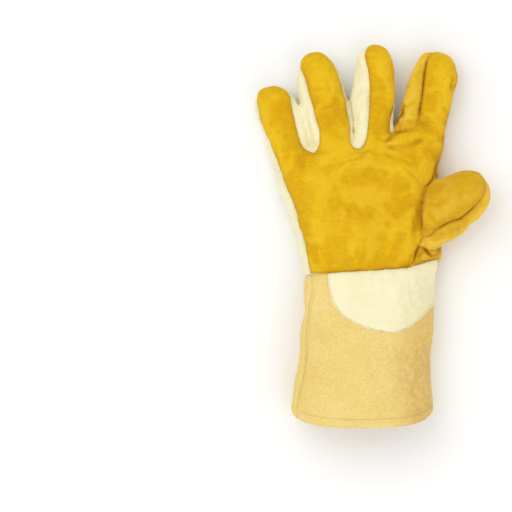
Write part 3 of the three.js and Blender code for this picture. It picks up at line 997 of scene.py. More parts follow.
@dataclass
class GloveSkin:
    """The glove's whole outer surface, from its rough form to its folds and seams."""

    voxel: float = 2.2
    rounding_passes: int = 4
    settling_frames: int = 20
    cloth: SettlingCloth = SettlingCloth()
    drawn_width: float = 3.2
    broad_passes: int = 60
    greatest_fold: float = 2.6
    hand_folds: float = 0.75
    cuff_folds: float = 0.4
    fullness: float = 0.5
    marks: SeamMarks = SeamMarks()
    # Painted shade on the cuff's thumb side and towards its open end
    painted_shade: CuffPaintedShade = CuffPaintedShade()
    ripple_size: float = 6.5
    wave_size: float = 12.0
    billow_size: float = 30.0
    wave: float = 0.4
    billow: float = 0.8
    ripple_relief: float = 0.3
    wave_relief: float = 0.35
    least_cloth: float = 0.9
    greatest_relief: float = 1.5
    regions: dict[Panel, Region] = field(default_factory=make_regions)
    mesh: bmesh.types.BMesh = field(default_factory=bmesh.new)

    def build(self) -> None:
        """Make the surface: wrap the rough form, let it settle, refine it, and press in seams and folds."""
        self.wrap()
        self.settle()
        self.mesh = through_modifier(self.mesh, "SUBSURF", levels=1, render_levels=1)
        self.emboss()
        LOG.info("skin: %d faces", len(self.mesh.faces))

    def wrap(self) -> None:
        """Join the sleeves into one skin and round off the creases between them."""
        whole = bmesh.new()
        whole.from_mesh(Loft(HAND_SECTIONS, sides=110).build())
        for digit in DIGITS.values():
            leaning = [replace(section, lean=digit.lean) for section in digit.sections]
            whole.from_mesh(Loft(leaning, digit.tip).build())
        self.mesh = through_modifier(whole, "REMESH", mode="VOXEL", voxel_size=self.voxel * MM)
        axes = {"use_axis_x": True, "use_axis_y": True, "use_axis_z": True}
        for _ in range(self.rounding_passes):
            bmesh.ops.smooth_vert(self.mesh, verts=self.mesh.verts, factor=0.5, **axes)
        rest = self.mesh.verts.layers.float_vector.new("rest")
        self.mesh.verts.layers.float.new("relief")
        for vert in self.mesh.verts:
            vert[rest] = vert.co
        self.mesh.normal_update()

    def swell(self, near: np.ndarray) -> np.ndarray:
        """Run the cloth simulation on a copy of the skin.

        Args:
            near: Distance from each point to its nearest seam, in millimetres.

        Returns:
            Where each point comes to lie, in millimetres.
        """
        data = bpy.data.meshes.new("settling")
        self.mesh.to_mesh(data)
        cloth = add_object("settling", data)
        drawn = cloth.vertex_groups.new(name="drawn")
        for index, distance in enumerate(near):
            drawn.add([index], math.exp(-((distance / self.drawn_width) ** 2)), "REPLACE")
        modifier = cloth.modifiers.new("cloth", "CLOTH")
        for name, value in asdict(self.cloth).items():
            setattr(modifier.settings, name, value)
        modifier.settings.vertex_group_shrink = drawn.name
        modifier.settings.effector_weights.gravity = 0.0
        modifier.collision_settings.use_collision = False
        for number in range(1, self.settling_frames + 1):
            bpy.context.scene.frame_set(number)
        settled = cloth.evaluated_get(bpy.context.evaluated_depsgraph_get()).to_mesh()
        after = np.array([vert.co[:] for vert in settled.vertices]) / MM + MIDDLE
        bpy.data.objects.remove(cloth)
        bpy.data.meshes.remove(data)
        bpy.context.scene.frame_set(1)
        return after

    def settle(self) -> None:
        """Let the cloth swell between its seams, which their thread draws in, and keep its fine folds."""
        before = places_of(self.mesh)
        moves = self.swell(self.seams(before)[1]) - before
        folds = moves - self.broad_part(moves, self.broad_passes)
        length = np.linalg.norm(folds, axis=1, keepdims=True)
        folds *= np.minimum(1, self.greatest_fold / np.maximum(length, 1e-6))
        folds = self.broad_part(folds, 1)
        folds *= (self.hand_folds + (self.cuff_folds - self.hand_folds) * on_cuff(before))[:, None]
        relief = self.mesh.verts.layers.float["relief"]
        for vert, fold in zip(self.mesh.verts, folds):
            vert[relief] = vert.normal.dot(Vector(fold))
            vert.co += Vector(fold) * MM
        LOG.info("settled: folds up to %.1f mm", float(np.linalg.norm(folds, axis=1).max()))

    def broad_part(self, moves: np.ndarray, passes: int) -> np.ndarray:
        """Take out of the points' moves the part that they share with what lies round them.

        Args:
            moves: Move of each point of the surface.
            passes: How often each point takes on the mean of its neighbours.

        Returns:
            The shared part.
        """
        self.mesh.verts.index_update()
        ends = np.array([[vert.index for vert in edge.verts] for edge in self.mesh.edges])
        both = np.concatenate([ends, ends[:, ::-1]])
        count = np.bincount(both[:, 0], minlength=len(moves))
        for _ in range(passes):
            sums = [np.bincount(both[:, 0], moves[both[:, 1], axis], len(moves)) for axis in range(3)]
            moves = 0.5 * moves + 0.5 * np.stack(sums, axis=1) / count[:, None]
        return moves

    def seams(self, places: np.ndarray) -> tuple[np.ndarray, np.ndarray]:
        """Find each place's panel and how far away its nearest seam is.

        Args:
            places: Array of places in millimetres.

        Returns:
            The index of each place's panel, and the distance to its edge.
        """
        owner = np.full(len(places), len(self.regions))
        near = np.full(len(places), 1e9)
        for index, region in enumerate(self.regions.values()):
            depth = region.depth(places)
            free = owner == len(self.regions)
            taken = free & (depth > 0)
            near = np.where(taken, np.minimum(near, depth), np.where(free, np.minimum(near, -depth), near))
            owner = np.where(taken, index, owner)
        return owner, near

    def emboss(self) -> None:
        """Press the seams, wrinkles and raised seams into the surface, and note each place's painted shade
        and how far it stands out.
        """
        self.mesh.normal_update()
        places = places_of(self.mesh, "rest")
        normals = np.array([vert.normal[:] for vert in self.mesh.verts])
        ripple = waver(places, self.ripple_size)
        waves = waver(places, self.wave_size, (1, 9, 4))
        shift, dark = self.marks.mark(places, self.seams(places)[1], ripple, waves)
        shift += self.fullness + self.wave * waves + self.billow * waver(places, self.billow_size, (7, 3, 1))
        # Painted shade towards the cuff's thumb side and its open end
        dark += self.painted_shade.shade(places, normals)
        relief = self.wave_relief * waves + self.ripple_relief * ripple
        for feature in (*DENTS, *CREASES, *DRAWN_SEAMS, *RAISED_SEAMS, HEM):
            bump, shade = feature.mark(places, normals)
            shift += bump
            dark += shade
            if isinstance(feature, Crease):
                relief += bump
        self.press(normals, shift, unit(dark), relief)

    def press(self, normals: np.ndarray, shift: np.ndarray, dark: np.ndarray, relief: np.ndarray) -> None:
        """Move the surface in or out, and keep where it was for the inner faces of the panels.

        Args:
            normals: Outward direction at each point.
            shift: How far each point moves outwards, in millimetres.
            dark: How strongly each point is shaded.
            relief: How far each point stands out from what lies round it, in millimetres.
        """
        mesh = self.mesh
        tone = mesh.verts.layers.float.new("crease")
        high = mesh.verts.layers.float["relief"]
        bare = mesh.verts.layers.float_vector.new("bare")
        inward = mesh.verts.layers.float_vector.new("inward")
        sink = np.maximum(-shift - self.least_cloth, 0)
        for vert, normal, move, deep, shade, rise in zip(mesh.verts, normals, shift, sink, dark, relief):
            vert[bare] = vert.co - Vector(normal) * float(deep) * MM
            vert[inward] = -Vector(normal)
            vert.co += Vector(normal) * float(move) * MM
            vert.co.z = max(vert.co.z, 0.0)
            vert[tone] = float(shade)
            vert[high] = float(np.clip(vert[high] + rise, -self.greatest_relief, self.greatest_relief))
        mesh.normal_update()


def on_cuff(places: np.ndarray) -> np.ndarray:
    """Tell how far places are on the cuff, from 0 to 1, with a soft change at the wrist seam."""
    return 1 / (1 + np.exp(-BELOW_WRIST.depth(places) / 3))


def split_by(
    mesh: bmesh.types.BMesh, depth: Callable[[np.ndarray], np.ndarray]
) -> tuple[bmesh.types.BMesh, bmesh.types.BMesh]:
    """Cut a surface along the line where a measure of its places is zero.

    The measure stands in for the height while a level plane cuts, and every point then goes back.

    Args:
        mesh: The surface, which keeps the part where the measure is negative.
        depth: The measure, of places in millimetres.

    Returns:
        The part where the measure is positive, and the rest.
    """
    kept = mesh.verts.layers.float_vector.get("kept") or mesh.verts.layers.float_vector.new("kept")
    for vert, value in zip(mesh.verts, depth(places_of(mesh, "rest"))):
        vert[kept] = vert.co
        vert.co.z = float(np.clip(value, -20, 20)) * MM
    geometry = [*mesh.verts, *mesh.edges, *mesh.faces]
    bmesh.ops.bisect_plane(mesh, geom=geometry, dist=2e-6, plane_co=(0, 0, 0), plane_no=(0, 0, 1))
    side = mesh.faces.layers.int.get("side") or mesh.faces.layers.int.new("side")
    for face in mesh.faces:
        face[side] = int(sum(vert.co.z for vert in face.verts) > 0)
    for vert in mesh.verts:
        vert.co = vert[kept]
    part = mesh.copy()
    for half, value in ((part, 0), (mesh, 1)):
        layer = half.faces.layers.int["side"]
        away = [face for face in half.faces if face[layer] == value]
        bmesh.ops.delete(half, geom=away, context="FACES")
    return part, mesh


def srgb(colour: Colour) -> tuple[float, float, float, float]:
    """Turn a colour of 0 to 255 a channel, as seen, into the linear one that a shader takes.

    Args:
        colour: Red, green and blue.

    Returns:
        The linear colour, fully opaque.
    """
    parts = [c / 255 for c in colour]
    linear = [c / 12.92 if c <= 0.04045 else ((c + 0.055) / 1.055) ** 2.4 for c in parts]
    return (*linear, 1.0)


class Sheet:
    """A node tree that is filled one node at a time."""

    def __init__(self, tree: bpy.types.NodeTree) -> None:
        """Take an empty node tree."""
        self.tree = tree

    def add(self, kind: str, inputs: dict | None = None, **settings: object) -> bpy.types.Node:
        """Add a node.

        Args:
            kind: The node's type.
            inputs: Value, or socket to link, for each input by name or number.
            **settings: The node's own settings.

        Returns:
            The node.
        """
        node = self.tree.nodes.new(kind)
        for name, value in settings.items():
            setattr(node, name, value)
        for key, value in (inputs or {}).items():
            if isinstance(value, bpy.types.NodeSocket):
                self.tree.links.new(value, node.inputs[key])
            else:
                node.inputs[key].default_value = value
        return node

    def math(self, operation: str, a: object, b: object = 0.0, clamp: bool = False) -> Socket:
        """Add a sum, product or other operation on two values."""
        return self.add("ShaderNodeMath", {0: a, 1: b}, operation=operation, use_clamp=clamp).outputs[0]

    def blend(self, share: object, a: object, b: object) -> Socket:
        """Add a mix of two colours."""
        return self.add("ShaderNodeMix", {0: share, 6: a, 7: b}, data_type="RGBA").outputs[2]

    def tint(self, colour: object, mask: Socket, strength: float, tone: Colour) -> Socket:
        """Lay a tone over a colour, as strongly as a mask times a strength."""
        return self.blend(self.math("MULTIPLY", mask, strength), colour, srgb(tone))

    def noise(self, vector: Socket, scale: object, detail: float = 3.0, rough: float = 0.55) -> Socket:
        """Add a cloudy value between 0 and 1."""
        inputs = {"Vector": vector, "Scale": scale, "Detail": detail, "Roughness": rough}
        return self.add("ShaderNodeTexNoise", inputs).outputs["Fac"]

    def span(self, value: Socket, low: float, high: float, to: tuple[float, float] = (0, 1)) -> Socket:
        """Stretch a range of a value to another range, and clip it there."""
        inputs = {"Value": value, "From Min": low, "From Max": high, "To Min": to[0], "To Max": to[1]}
        return self.add("ShaderNodeMapRange", inputs).outputs["Result"]

    def bands(
        self, vector: Socket, scale: Socket, axis: str, unevenness: tuple[float, float, float]
    ) -> Socket:
        """Add soft parallel bands.

        Args:
            vector: Where on the piece.
            scale: How many bands there are.
            axis: Axis across which they follow one another.
            unevenness: Distortion, and the scale and roughness of its detail.

        Returns:
            The bands, between 0 and 1.
        """
        inputs = {"Vector": vector, "Scale": scale, "Distortion": unevenness[0], "Detail": 2.0}
        inputs |= {"Detail Scale": unevenness[1], "Detail Roughness": unevenness[2]}
        settings = {"wave_type": "BANDS", "bands_direction": axis, "wave_profile": "SIN"}
        return self.add("ShaderNodeTexWave", inputs, **settings).outputs["Fac"]

    def stretched(self, vector: Socket, x: float = 1.0, y: float = 1.0) -> Socket:
        """Scale the place that a pattern reads, so that the pattern is drawn out along an axis."""
        return self.add("ShaderNodeMapping", {"Vector": vector, "Scale": (x, y, 1.0)}).outputs[0]

    def bump(self, height: Socket, strength: float, distance: float) -> Socket:
        """Turn a height into a normal."""
        inputs = {"Strength": strength, "Distance": distance, "Height": height}
        return self.add("ShaderNodeBump", inputs).outputs[0]

    def effect(self, group: bpy.types.NodeTree, vector: Socket, **values: float) -> dict[str, Socket]:
        """Place a shared effect with its own values, and give its outputs."""
        node = self.add("ShaderNodeGroup", {"Vector": vector, **values}, node_tree=group)
        return dict(node.outputs.items())

    def put_out(self, **results: Socket) -> bpy.types.NodeTree:
        """End a node group with its outputs.

        Args:
            **results: What each output gives.

        Returns:
            The finished group.
        """
        for label in results:
            self.tree.interface.new_socket(label, in_out="OUTPUT", socket_type="NodeSocketFloat")
        self.add("NodeGroupOutput", results)
        return self.tree


def start_group(name: str, **inputs: float) -> tuple[Sheet, dict[str, Socket]]:
    """Start a shader node group whose first input is a vector.

    Args:
        name: The group's name.
        **inputs: Usual value of each other input.

    Returns:
        The group's sheet, and its inputs by name.
    """
    tree = bpy.data.node_groups.new(name, "ShaderNodeTree")
    tree.interface.new_socket("Vector", in_out="INPUT", socket_type="NodeSocketVector")
    for label, value in inputs.items():
        socket = tree.interface.new_socket(label, in_out="INPUT", socket_type="NodeSocketFloat")
        socket.default_value = value
    sheet = Sheet(tree)
    return sheet, dict(sheet.add("NodeGroupInput").outputs.items())


class Effects:
    """The effects that several finishes share, as node groups."""

    def __init__(self) -> None:
        """Build every group once."""
        self.blotches = self.make_blotches()
        self.fuzz = self.make_fuzz()
        self.rows = self.make_rows()
        self.creases = self.make_creases()
        self.relief = self.make_relief()

    @staticmethod
    def make_blotches() -> bpy.types.NodeTree:
        """Make broad and small patches of tone, between 0 and 1.

        Returns:
            The group.
        """
        sheet, given = start_group("tone_patches", Broad=28.0, Small=130.0)
        broad = sheet.noise(given["Vector"], given["Broad"], 2.0, 0.5)
        small = sheet.noise(given["Vector"], given["Small"], 3.0, 0.6)
        both = sheet.math("ADD", sheet.math("MULTIPLY", broad, 0.62), sheet.math("MULTIPLY", small, 0.38))
        return sheet.put_out(Tone=sheet.span(both, 0.33, 0.67))

    @staticmethod
    def make_fuzz() -> bpy.types.NodeTree:
        """Make the nap of suede or the lint of cloth: a fine height and a mask of raised fibres.

        Returns:
            The group.
        """
        sheet, given = start_group("fibre_nap", Scale=900.0, Drag=0.4)
        fine = sheet.noise(given["Vector"], given["Scale"], 4.0, 0.7)
        coarse = sheet.noise(given["Vector"], sheet.math("MULTIPLY", given["Scale"], 0.28), 3.0, 0.6)
        height = sheet.math("ADD", fine, sheet.math("MULTIPLY", coarse, given["Drag"]))
        return sheet.put_out(Height=height, Tips=sheet.span(fine, 0.52, 0.72))

    @staticmethod
    def make_rows() -> bpy.types.NodeTree:
        """Make the rows of a ribbed cloth: rounded ribs across the length, broken by stitches along them, and
        a mask of their grooves for painted shade.

        Returns:
            The group.
        """
        sheet, given = start_group("cloth_rows", Rows=300.0, Stitches=520.0)
        ribs = sheet.bands(given["Vector"], given["Rows"], "Y", (1.2, 0.35, 0.5))
        loops = sheet.bands(given["Vector"], given["Stitches"], "X", (2.5, 0.6, 0.6))
        patchy = sheet.span(sheet.noise(given["Vector"], 60.0, 2.0), 0.35, 0.7, (0.45, 1.0))
        ribs = sheet.math("MULTIPLY", ribs, patchy)
        height = sheet.math("ADD", ribs, sheet.math("MULTIPLY", loops, 0.35))
        return sheet.put_out(Height=height, Groove=sheet.span(ribs, 0.25, 0.0))

    @staticmethod
    def make_creases() -> bpy.types.NodeTree:
        """Make the mask of painted shade in seams and creases and on the cuff's thumb side, a little uneven,
        from how dark each point is.

        Returns:
            The group.
        """
        sheet, given = start_group("crease_shade")
        depth = sheet.add("ShaderNodeAttribute", attribute_name="crease").outputs["Fac"]
        uneven = sheet.span(sheet.noise(given["Vector"], 240.0, 2.0), 0.3, 0.7, (0.55, 1.15))
        return sheet.put_out(Mask=sheet.math("MULTIPLY", depth, uneven, clamp=True))

    @staticmethod
    def make_relief() -> bpy.types.NodeTree:
        """Make the masks of what stands out and is rubbed, and of what lies low, where shade is painted.

        Returns:
            The group.
        """
        sheet, given = start_group("rubbed_and_low", Reach=0.9)
        rise = sheet.add("ShaderNodeAttribute", attribute_name="relief").outputs["Fac"]
        uneven = sheet.span(sheet.noise(given["Vector"], 170.0, 3.0), 0.3, 0.7, (-0.25, 0.25))
        value = sheet.math("DIVIDE", sheet.math("ADD", rise, uneven), given["Reach"])
        return sheet.put_out(Rubbed=sheet.span(value, 0.1, 1.0), Low=sheet.span(value, -0.1, -1.0))


@dataclass(frozen=True)
class Finish:
    """What every finish has: a name, and a surface that its own class describes."""

    name: str

    def surface(self, sheet: Sheet, place: Socket, effects: Effects) -> dict[str, object]:
        """Give the shader's inputs, from where on the piece and from the shared effects."""
        raise NotImplementedError

    def material(self, effects: Effects) -> bpy.types.Material:
        """Make the finish's material.

        Args:
            effects: The shared node groups.

        Returns:
            The material.
        """
        material = bpy.data.materials.new(self.name)
        material.use_nodes = True
        material.node_tree.nodes.clear()
        sheet = Sheet(material.node_tree)
        place = sheet.add("ShaderNodeTexCoord").outputs["Object"]
        shader = sheet.add("ShaderNodeBsdfPrincipled", self.surface(sheet, place, effects))
        sheet.add("ShaderNodeOutputMaterial", {"Surface": shader.outputs[0]})
        return material


@dataclass(frozen=True)
class Suede(Finish):
    """Split leather with its nap outwards: mottled, matt, with painted shade in its creases."""

    deep: Colour
    middle: Colour
    pale: Colour
    # Colour of the painted shade in creases and seams
    painted_shade: Colour

    def surface(self, sheet: Sheet, place: Socket, effects: Effects) -> dict[str, object]:
        """Describe the suede: patches of tone, rubbed heights, painted shade in hollows and creases, streaks,
        scuffs and nap.

        Args:
            sheet: The material's sheet.
            place: Where on the piece.
            effects: The shared node groups.

        Returns:
            The shader's inputs.
        """
        brushed = sheet.stretched(place, y=0.55)
        combed = sheet.stretched(place, x=0.35)
        tone = sheet.effect(effects.blotches, brushed, Broad=34.0, Small=150.0)["Tone"]
        nap = sheet.effect(effects.fuzz, place, Scale=950.0, Drag=0.9)
        rubbed_and_shaded = sheet.effect(effects.relief, place)
        colour = sheet.blend(sheet.span(tone, -0.25, 0.6), srgb(self.deep), srgb(self.middle))
        colour = sheet.blend(sheet.span(tone, 0.45, 1.1), colour, srgb(self.pale))
        colour = sheet.tint(colour, rubbed_and_shaded["Rubbed"], 0.5, self.pale)
        # Painted shade where the surface lies low
        colour = sheet.tint(colour, rubbed_and_shaded["Low"], 0.45, self.deep)
        colour = sheet.tint(colour, nap["Tips"], 0.32, self.pale)
        streaks = sheet.span(sheet.noise(brushed, 420.0, 4.0, 0.65), 0.3, 0.75, (0.0, 0.38))
        colour = sheet.blend(streaks, colour, srgb(self.deep))
        scuffs = sheet.span(sheet.noise(combed, 230.0, 4.0, 0.7), 0.5, 0.76, (0.0, 0.6))
        colour = sheet.blend(scuffs, colour, srgb(self.pale))
        colour = sheet.blend(sheet.effect(effects.creases, place)["Mask"], colour, srgb(self.painted_shade))
        lumps = sheet.noise(place, 210.0, 4.0, 0.6)
        height = sheet.math("ADD", sheet.math("MULTIPLY", nap["Height"], 0.35), lumps)
        return {
            "Base Color": colour,
            "Roughness": sheet.span(tone, 0.0, 1.0, (0.82, 0.96)),
            "Normal": sheet.bump(height, 0.55, 0.0009),
            "Sheen Weight": 0.12,
            "Sheen Roughness": 0.55,
            "Sheen Tint": srgb((255, 220, 110)),
            "Specular IOR Level": 0.18,
        }


@dataclass(frozen=True)
class RibbedCloth(Finish):
    """Cream heat-proof cloth with rows of fine ribs."""

    light: Colour
    dark: Colour
    # Colour of the painted shade in creases and seams
    painted_shade: Colour
    rows: float
    relief: float
    lint: Colour = (255, 252, 232)

    def surface(self, sheet: Sheet, place: Socket, effects: Effects) -> dict[str, object]:
        """Describe the cloth: ribs with painted shade in their grooves, lint, and painted shade in its
        creases.

        Args:
            sheet: The material's sheet.
            place: Where on the piece.
            effects: The shared node groups.

        Returns:
            The shader's inputs.
        """
        rows = sheet.effect(effects.rows, place, Rows=self.rows, Stitches=330.0)
        lint = sheet.effect(effects.fuzz, place, Scale=1300.0)
        tone = sheet.effect(effects.blotches, place, Broad=22.0)["Tone"]
        colour = sheet.blend(tone, srgb(self.dark), srgb(self.light))
        # Painted shade in the grooves between the ribs
        colour = sheet.tint(colour, rows["Groove"], 0.45, self.dark)
        colour = sheet.tint(colour, lint["Tips"], 0.4, self.lint)
        colour = sheet.tint(colour, sheet.effect(effects.creases, place)["Mask"], 0.8, self.painted_shade)
        height = sheet.math("ADD", rows["Height"], sheet.math("MULTIPLY", lint["Height"], 0.6))
        return {
            "Base Color": colour,
            "Roughness": 0.95,
            "Normal": sheet.bump(height, self.relief, 0.0008),
            "Sheen Weight": 0.15,
            "Sheen Roughness": 0.6,
            "Specular IOR Level": 0.15,
        }


@dataclass(frozen=True)
class SpeckledCloth(Finish):
    """Tan cuff cloth, woven from light and dark yarn."""

    base: Colour
    light: Colour
    dark: Colour
    # Colour of the painted shade in creases, seams and on the thumb side
    painted_shade: Colour

    def surface(self, sheet: Sheet, place: Socket, effects: Effects) -> dict[str, object]:
        """Describe the cloth: specks of pale and dark yarn, a fine weave with painted shade in its grooves,
        and painted shade in creases, seams and towards the thumb side.

        Args:
            sheet: The material's sheet.
            place: Where on the piece.
            effects: The shared node groups.

        Returns:
            The shader's inputs.
        """
        rows = sheet.effect(effects.rows, place, Rows=430.0, Stitches=560.0)
        lint = sheet.effect(effects.fuzz, place, Scale=800.0)
        tone = sheet.effect(effects.blotches, place, Broad=26.0, Small=200.0)["Tone"]
        yarn = sheet.stretched(place, x=0.55)
        pale = sheet.span(sheet.noise(yarn, 620.0, 2.0, 0.6), 0.54, 0.66)
        grain = sheet.span(sheet.noise(yarn, 740.0, 2.0, 0.6), 0.56, 0.70)
        colour = sheet.tint(srgb(self.base), tone, 0.5, self.light)
        colour = sheet.tint(colour, pale, 0.6, self.light)
        colour = sheet.tint(colour, grain, 0.5, self.dark)
        # Painted shade in the grooves between the ribs
        colour = sheet.tint(colour, rows["Groove"], 0.25, self.dark)
        colour = sheet.tint(colour, sheet.effect(effects.creases, place)["Mask"], 0.7, self.painted_shade)
        height = sheet.math("ADD", rows["Height"], sheet.math("MULTIPLY", lint["Height"], 0.8))
        return {
            "Base Color": colour,
            "Roughness": 0.95,
            "Normal": sheet.bump(height, 0.42, 0.0007),
            "Sheen Weight": 0.12,
            "Sheen Roughness": 0.6,
            "Specular IOR Level": 0.15,
        }


@dataclass(frozen=True)
class Thread(Finish):
    """Sewing thread: a twisted, slightly glossy yarn."""

    colour: Colour

    def surface(self, sheet: Sheet, place: Socket, effects: Effects) -> dict[str, object]:
        """Describe the thread: pale fibres on a darker core.

        Args:
            sheet: The material's sheet.
            place: Where on the piece.
            effects: The shared node groups.

        Returns:
            The shader's inputs.
        """
        lint = sheet.effect(effects.fuzz, place, Scale=2600.0)
        core = tuple(channel * 0.82 for channel in self.colour)
        return {
            "Base Color": sheet.blend(lint["Tips"], srgb(core), srgb(self.colour)),
            "Roughness": 0.7,
            "Normal": sheet.bump(lint["Height"], 0.4, 0.0002),
        }


class Finishes:
    """Every material of the glove, made once."""

    def __init__(self) -> None:
        """Make the shared effects and the materials."""
        effects = Effects()
        # light is a paler copy of the suede, with painted light for pieces that face away from the lamps
        self.palm, self.thumb, self.light = (
            Suede(*row).material(effects)
            for row in (
                ("palm_suede", (204, 151, 0), (222, 175, 3), (235, 195, 38), (138, 84, 4)),
                ("thumb_suede", (199, 149, 8), (214, 166, 17), (230, 190, 60), (136, 82, 6)),
                ("light_suede", (208, 159, 12), (226, 181, 34), (242, 206, 82), (142, 88, 8)),
            )
        )
        self.cream, self.cream_fine = (
            RibbedCloth(*row).material(effects)
            for row in (
                ("cream_ribbed_cloth", (248, 242, 207), (238, 229, 184), (188, 172, 118), 92.0, 0.6),
                ("cream_fine_cloth", (246, 240, 203), (238, 229, 181), (186, 162, 84), 150.0, 0.35),
            )
        )
        cuff_colours = ((238, 207, 116), (249, 228, 157), (212, 173, 84), (172, 112, 6))
        self.cuff = SpeckledCloth("speckled_cuff_cloth", *cuff_colours).material(effects)
        self.cream_thread = Thread("cream_thread", (250, 232, 168)).material(effects)
        self.tan_thread = Thread("tan_thread", (243, 217, 148)).material(effects)
        self.gold_thread = Thread("gold_thread", (206, 150, 30)).material(effects)


class Slot(Enum):
    """The record's material slots."""

    LEATHER = "split_leather"
    CREAM = "cream_cloth"
    CUFF = "cuff_cloth"


@dataclass(frozen=True)
class Trim:
    """The edge of a piece that is sewn on, in millimetres: its groove, its shade, and how it stands."""

    groove: float = 0.0
    groove_at: float = 3.0
    groove_width: float = 0.8
    shade: float = 0.6
    shade_width: float = 0.7
    foot: float = 0.25
    gap: float = 0.12


@dataclass(frozen=True)
class Row:
    """A row of stitches in millimetres; half_share is half a stitch's length as a share of the pitch."""

    line: Sequence[Point]
    pitch: float
    radius: float = 0.3
    side: Side = Side.UP
    half_share: float = 0.36
    lift: float = 0.05


def shifted(line: Sequence[Point], x: float, y: float = 0.0) -> list[Point]:
    """Move a line of the plan."""
    return [(place[0] + x, place[1] + y) for place in line]


def cast(tree: BVHTree, x: float, y: float, side: Side) -> tuple[Vector, Vector] | None:
    """Find the surface over or under a place of the plan.

    Args:
        tree: The surface.
        x: Place in millimetres.
        y: Place in millimetres.
        side: The side to look at.

    Returns:
        The point and its outward normal, or None where there is no surface.
    """
    start = Vector(((x - MIDDLE[0]) * MM, (y - MIDDLE[1]) * MM, side.value))
    point, normal, _, _ = tree.ray_cast(start, Vector((0, 0, -side.value)))
    return None if point is None else (point, normal)


@dataclass
class Workshop:
    """What every sub-assembly works from: the skin, its panels and the finishes."""

    skin: GloveSkin
    panels: dict[Panel, bmesh.types.BMesh]
    finishes: Finishes
    tree: BVHTree

    def finish_piece(
        self,
        name: str,
        mesh: bmesh.types.BMesh,
        material: bpy.types.Material,
        node: str | None = None,
    ) -> None:
        """Turn a mesh into a finished piece of the glove.

        Args:
            name: The piece's name.
            mesh: Its shape, in the frame; it is freed.
            material: Its finish.
            node: The solid that it stands for, if any.
        """
        for spare in ("kept", "rest", "inward", "bare"):
            layer = mesh.verts.layers.float_vector.get(spare)
            if layer is not None:
                mesh.verts.layers.float_vector.remove(layer)
        data = store(name, mesh)
        data.shade_smooth()
        data.materials.append(material)
        piece = add_object(name, data)
        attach(piece, "root")
        if node is not None:
            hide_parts(node)
        LOG.info("%s: %d faces", name, len(data.polygons))

    def wall(
        self, name: str, panel: Panel, thickness: float, material: bpy.types.Material, slot: Slot
    ) -> None:
        """Give a panel its thickness, inwards, and finish it as the piece that stands for its solid.

        Args:
            name: The piece's name.
            panel: The panel.
            thickness: The thickness in millimetres.
            material: Its finish.
            slot: The record's material slot that it belongs to; not used.
        """
        mesh = self.panels[panel]
        outer = set(mesh.verts)
        bmesh.ops.solidify(mesh, geom=list(mesh.faces), thickness=thickness * MM)
        inward = mesh.verts.layers.float_vector["inward"]
        bare = mesh.verts.layers.float_vector["bare"]
        for vert in mesh.verts:
            if vert not in outer:
                vert.co = vert[bare] + vert[inward] * thickness * MM
        mesh.normal_update()
        self.finish_piece(name, mesh, material, panel.value)

    def overlay(
        self, depth: Callable[[np.ndarray], np.ndarray], rise: float, rounding: float, trim: Trim
    ) -> bmesh.types.BMesh:
        """Lay a piece of cloth on the skin, rounded down to it at its edge.

        Args:
            depth: How deep places lie inside the piece, in millimetres.
            rise: Height of its face over the skin.
            rounding: Width over which its edge is rounded.
            trim: How its edge is stitched and shaded.

        Returns:
            The closed shape.
        """
        part, rest = split_by(self.skin.mesh.copy(), depth)
        rest.free()
        part.normal_update()
        within = np.clip(depth(places_of(part, "rest")), 0, None)
        edge = unit(within / rounding)
        height = trim.foot + rise * np.sqrt(1 - (1 - edge) ** 2)
        height -= trim.groove * bell(within - trim.groove_at, trim.groove_width)
        tone = part.verts.layers.float["crease"]
        feet = []
        for vert, lift, inside in zip(part.verts, height, within):
            feet.append(vert.co + vert.normal * trim.gap * MM)
            vert.co += vert.normal * float(lift) * MM
            vert[tone] = min(1.0, vert[tone] + trim.shade * math.exp(-((inside / trim.shade_width) ** 2)))
        number = part.verts.layers.int.new("number")
        for index, vert in enumerate(part.verts):
            vert[number] = index
        top = set(part.verts)
        bmesh.ops.solidify(part, geom=list(part.faces), thickness=0.1 * MM)
        for vert in part.verts:
            if vert not in top:
                vert.co = feet[vert[number]]
        part.verts.layers.int.remove(part.verts.layers.int["number"])
        return part

    def sew(
        self,
        name: str,
        row: Row,
        material: bpy.types.Material,
        on: BVHTree | None = None,
    ) -> None:
        """Sew a row of stitches and finish it as a piece.

        Args:
            name: The piece's name.
            row: Where and how it is sewn.
            material: The thread.
            on: The surface that is sewn through, instead of the skin.
        """
        path = spline(row.line, 1.0)
        run = np.concatenate([[0], np.cumsum(np.linalg.norm(np.diff(path[:, :2], axis=0), axis=1))])
        sewn = bmesh.new()
        tree = on or self.tree
        half = row.pitch * row.half_share
        for middle in np.arange(row.pitch, run[-1] - row.pitch / 2, row.pitch):
            spots = (middle - half, middle + half)
            hits = [cast(tree, *(np.interp(at, run, path[:, i]) for i in (0, 1)), row.side) for at in spots]
            if None in hits or (hits[0][0] - hits[1][0]).length > row.pitch * 2 * MM:
                continue
            self.add_stitch(sewn, hits[0], hits[1], row)
        self.finish_piece(name, sewn, material)

    @staticmethod
    def add_stitch(
        sewn: bmesh.types.BMesh, start: tuple[Vector, Vector], end: tuple[Vector, Vector], row: Row
    ) -> None:
        """Add one stitch between two points of the surface.

        Args:
            sewn: The mesh that takes it.
            start: Point and normal at its start.
            end: Point and normal at its end.
            row: The row that it belongs to.
        """
        thread = row.radius * MM
        up = (start[1] + end[1]).normalized()
        along = end[0] - start[0]
        across = up.cross(along).normalized()
        up = along.cross(across).normalized()
        centre = (start[0] + end[0]) / 2 + up * row.lift * MM
        turn = Matrix((along.normalized(), across, up)).transposed().to_4x4()
        size = Matrix.Diagonal((along.length / 2 + thread, thread, thread, 1.0))
        matrix = Matrix.Translation(centre) @ turn @ size
        bmesh.ops.create_uvsphere(sewn, u_segments=8, v_segments=5, radius=1.0, matrix=matrix)


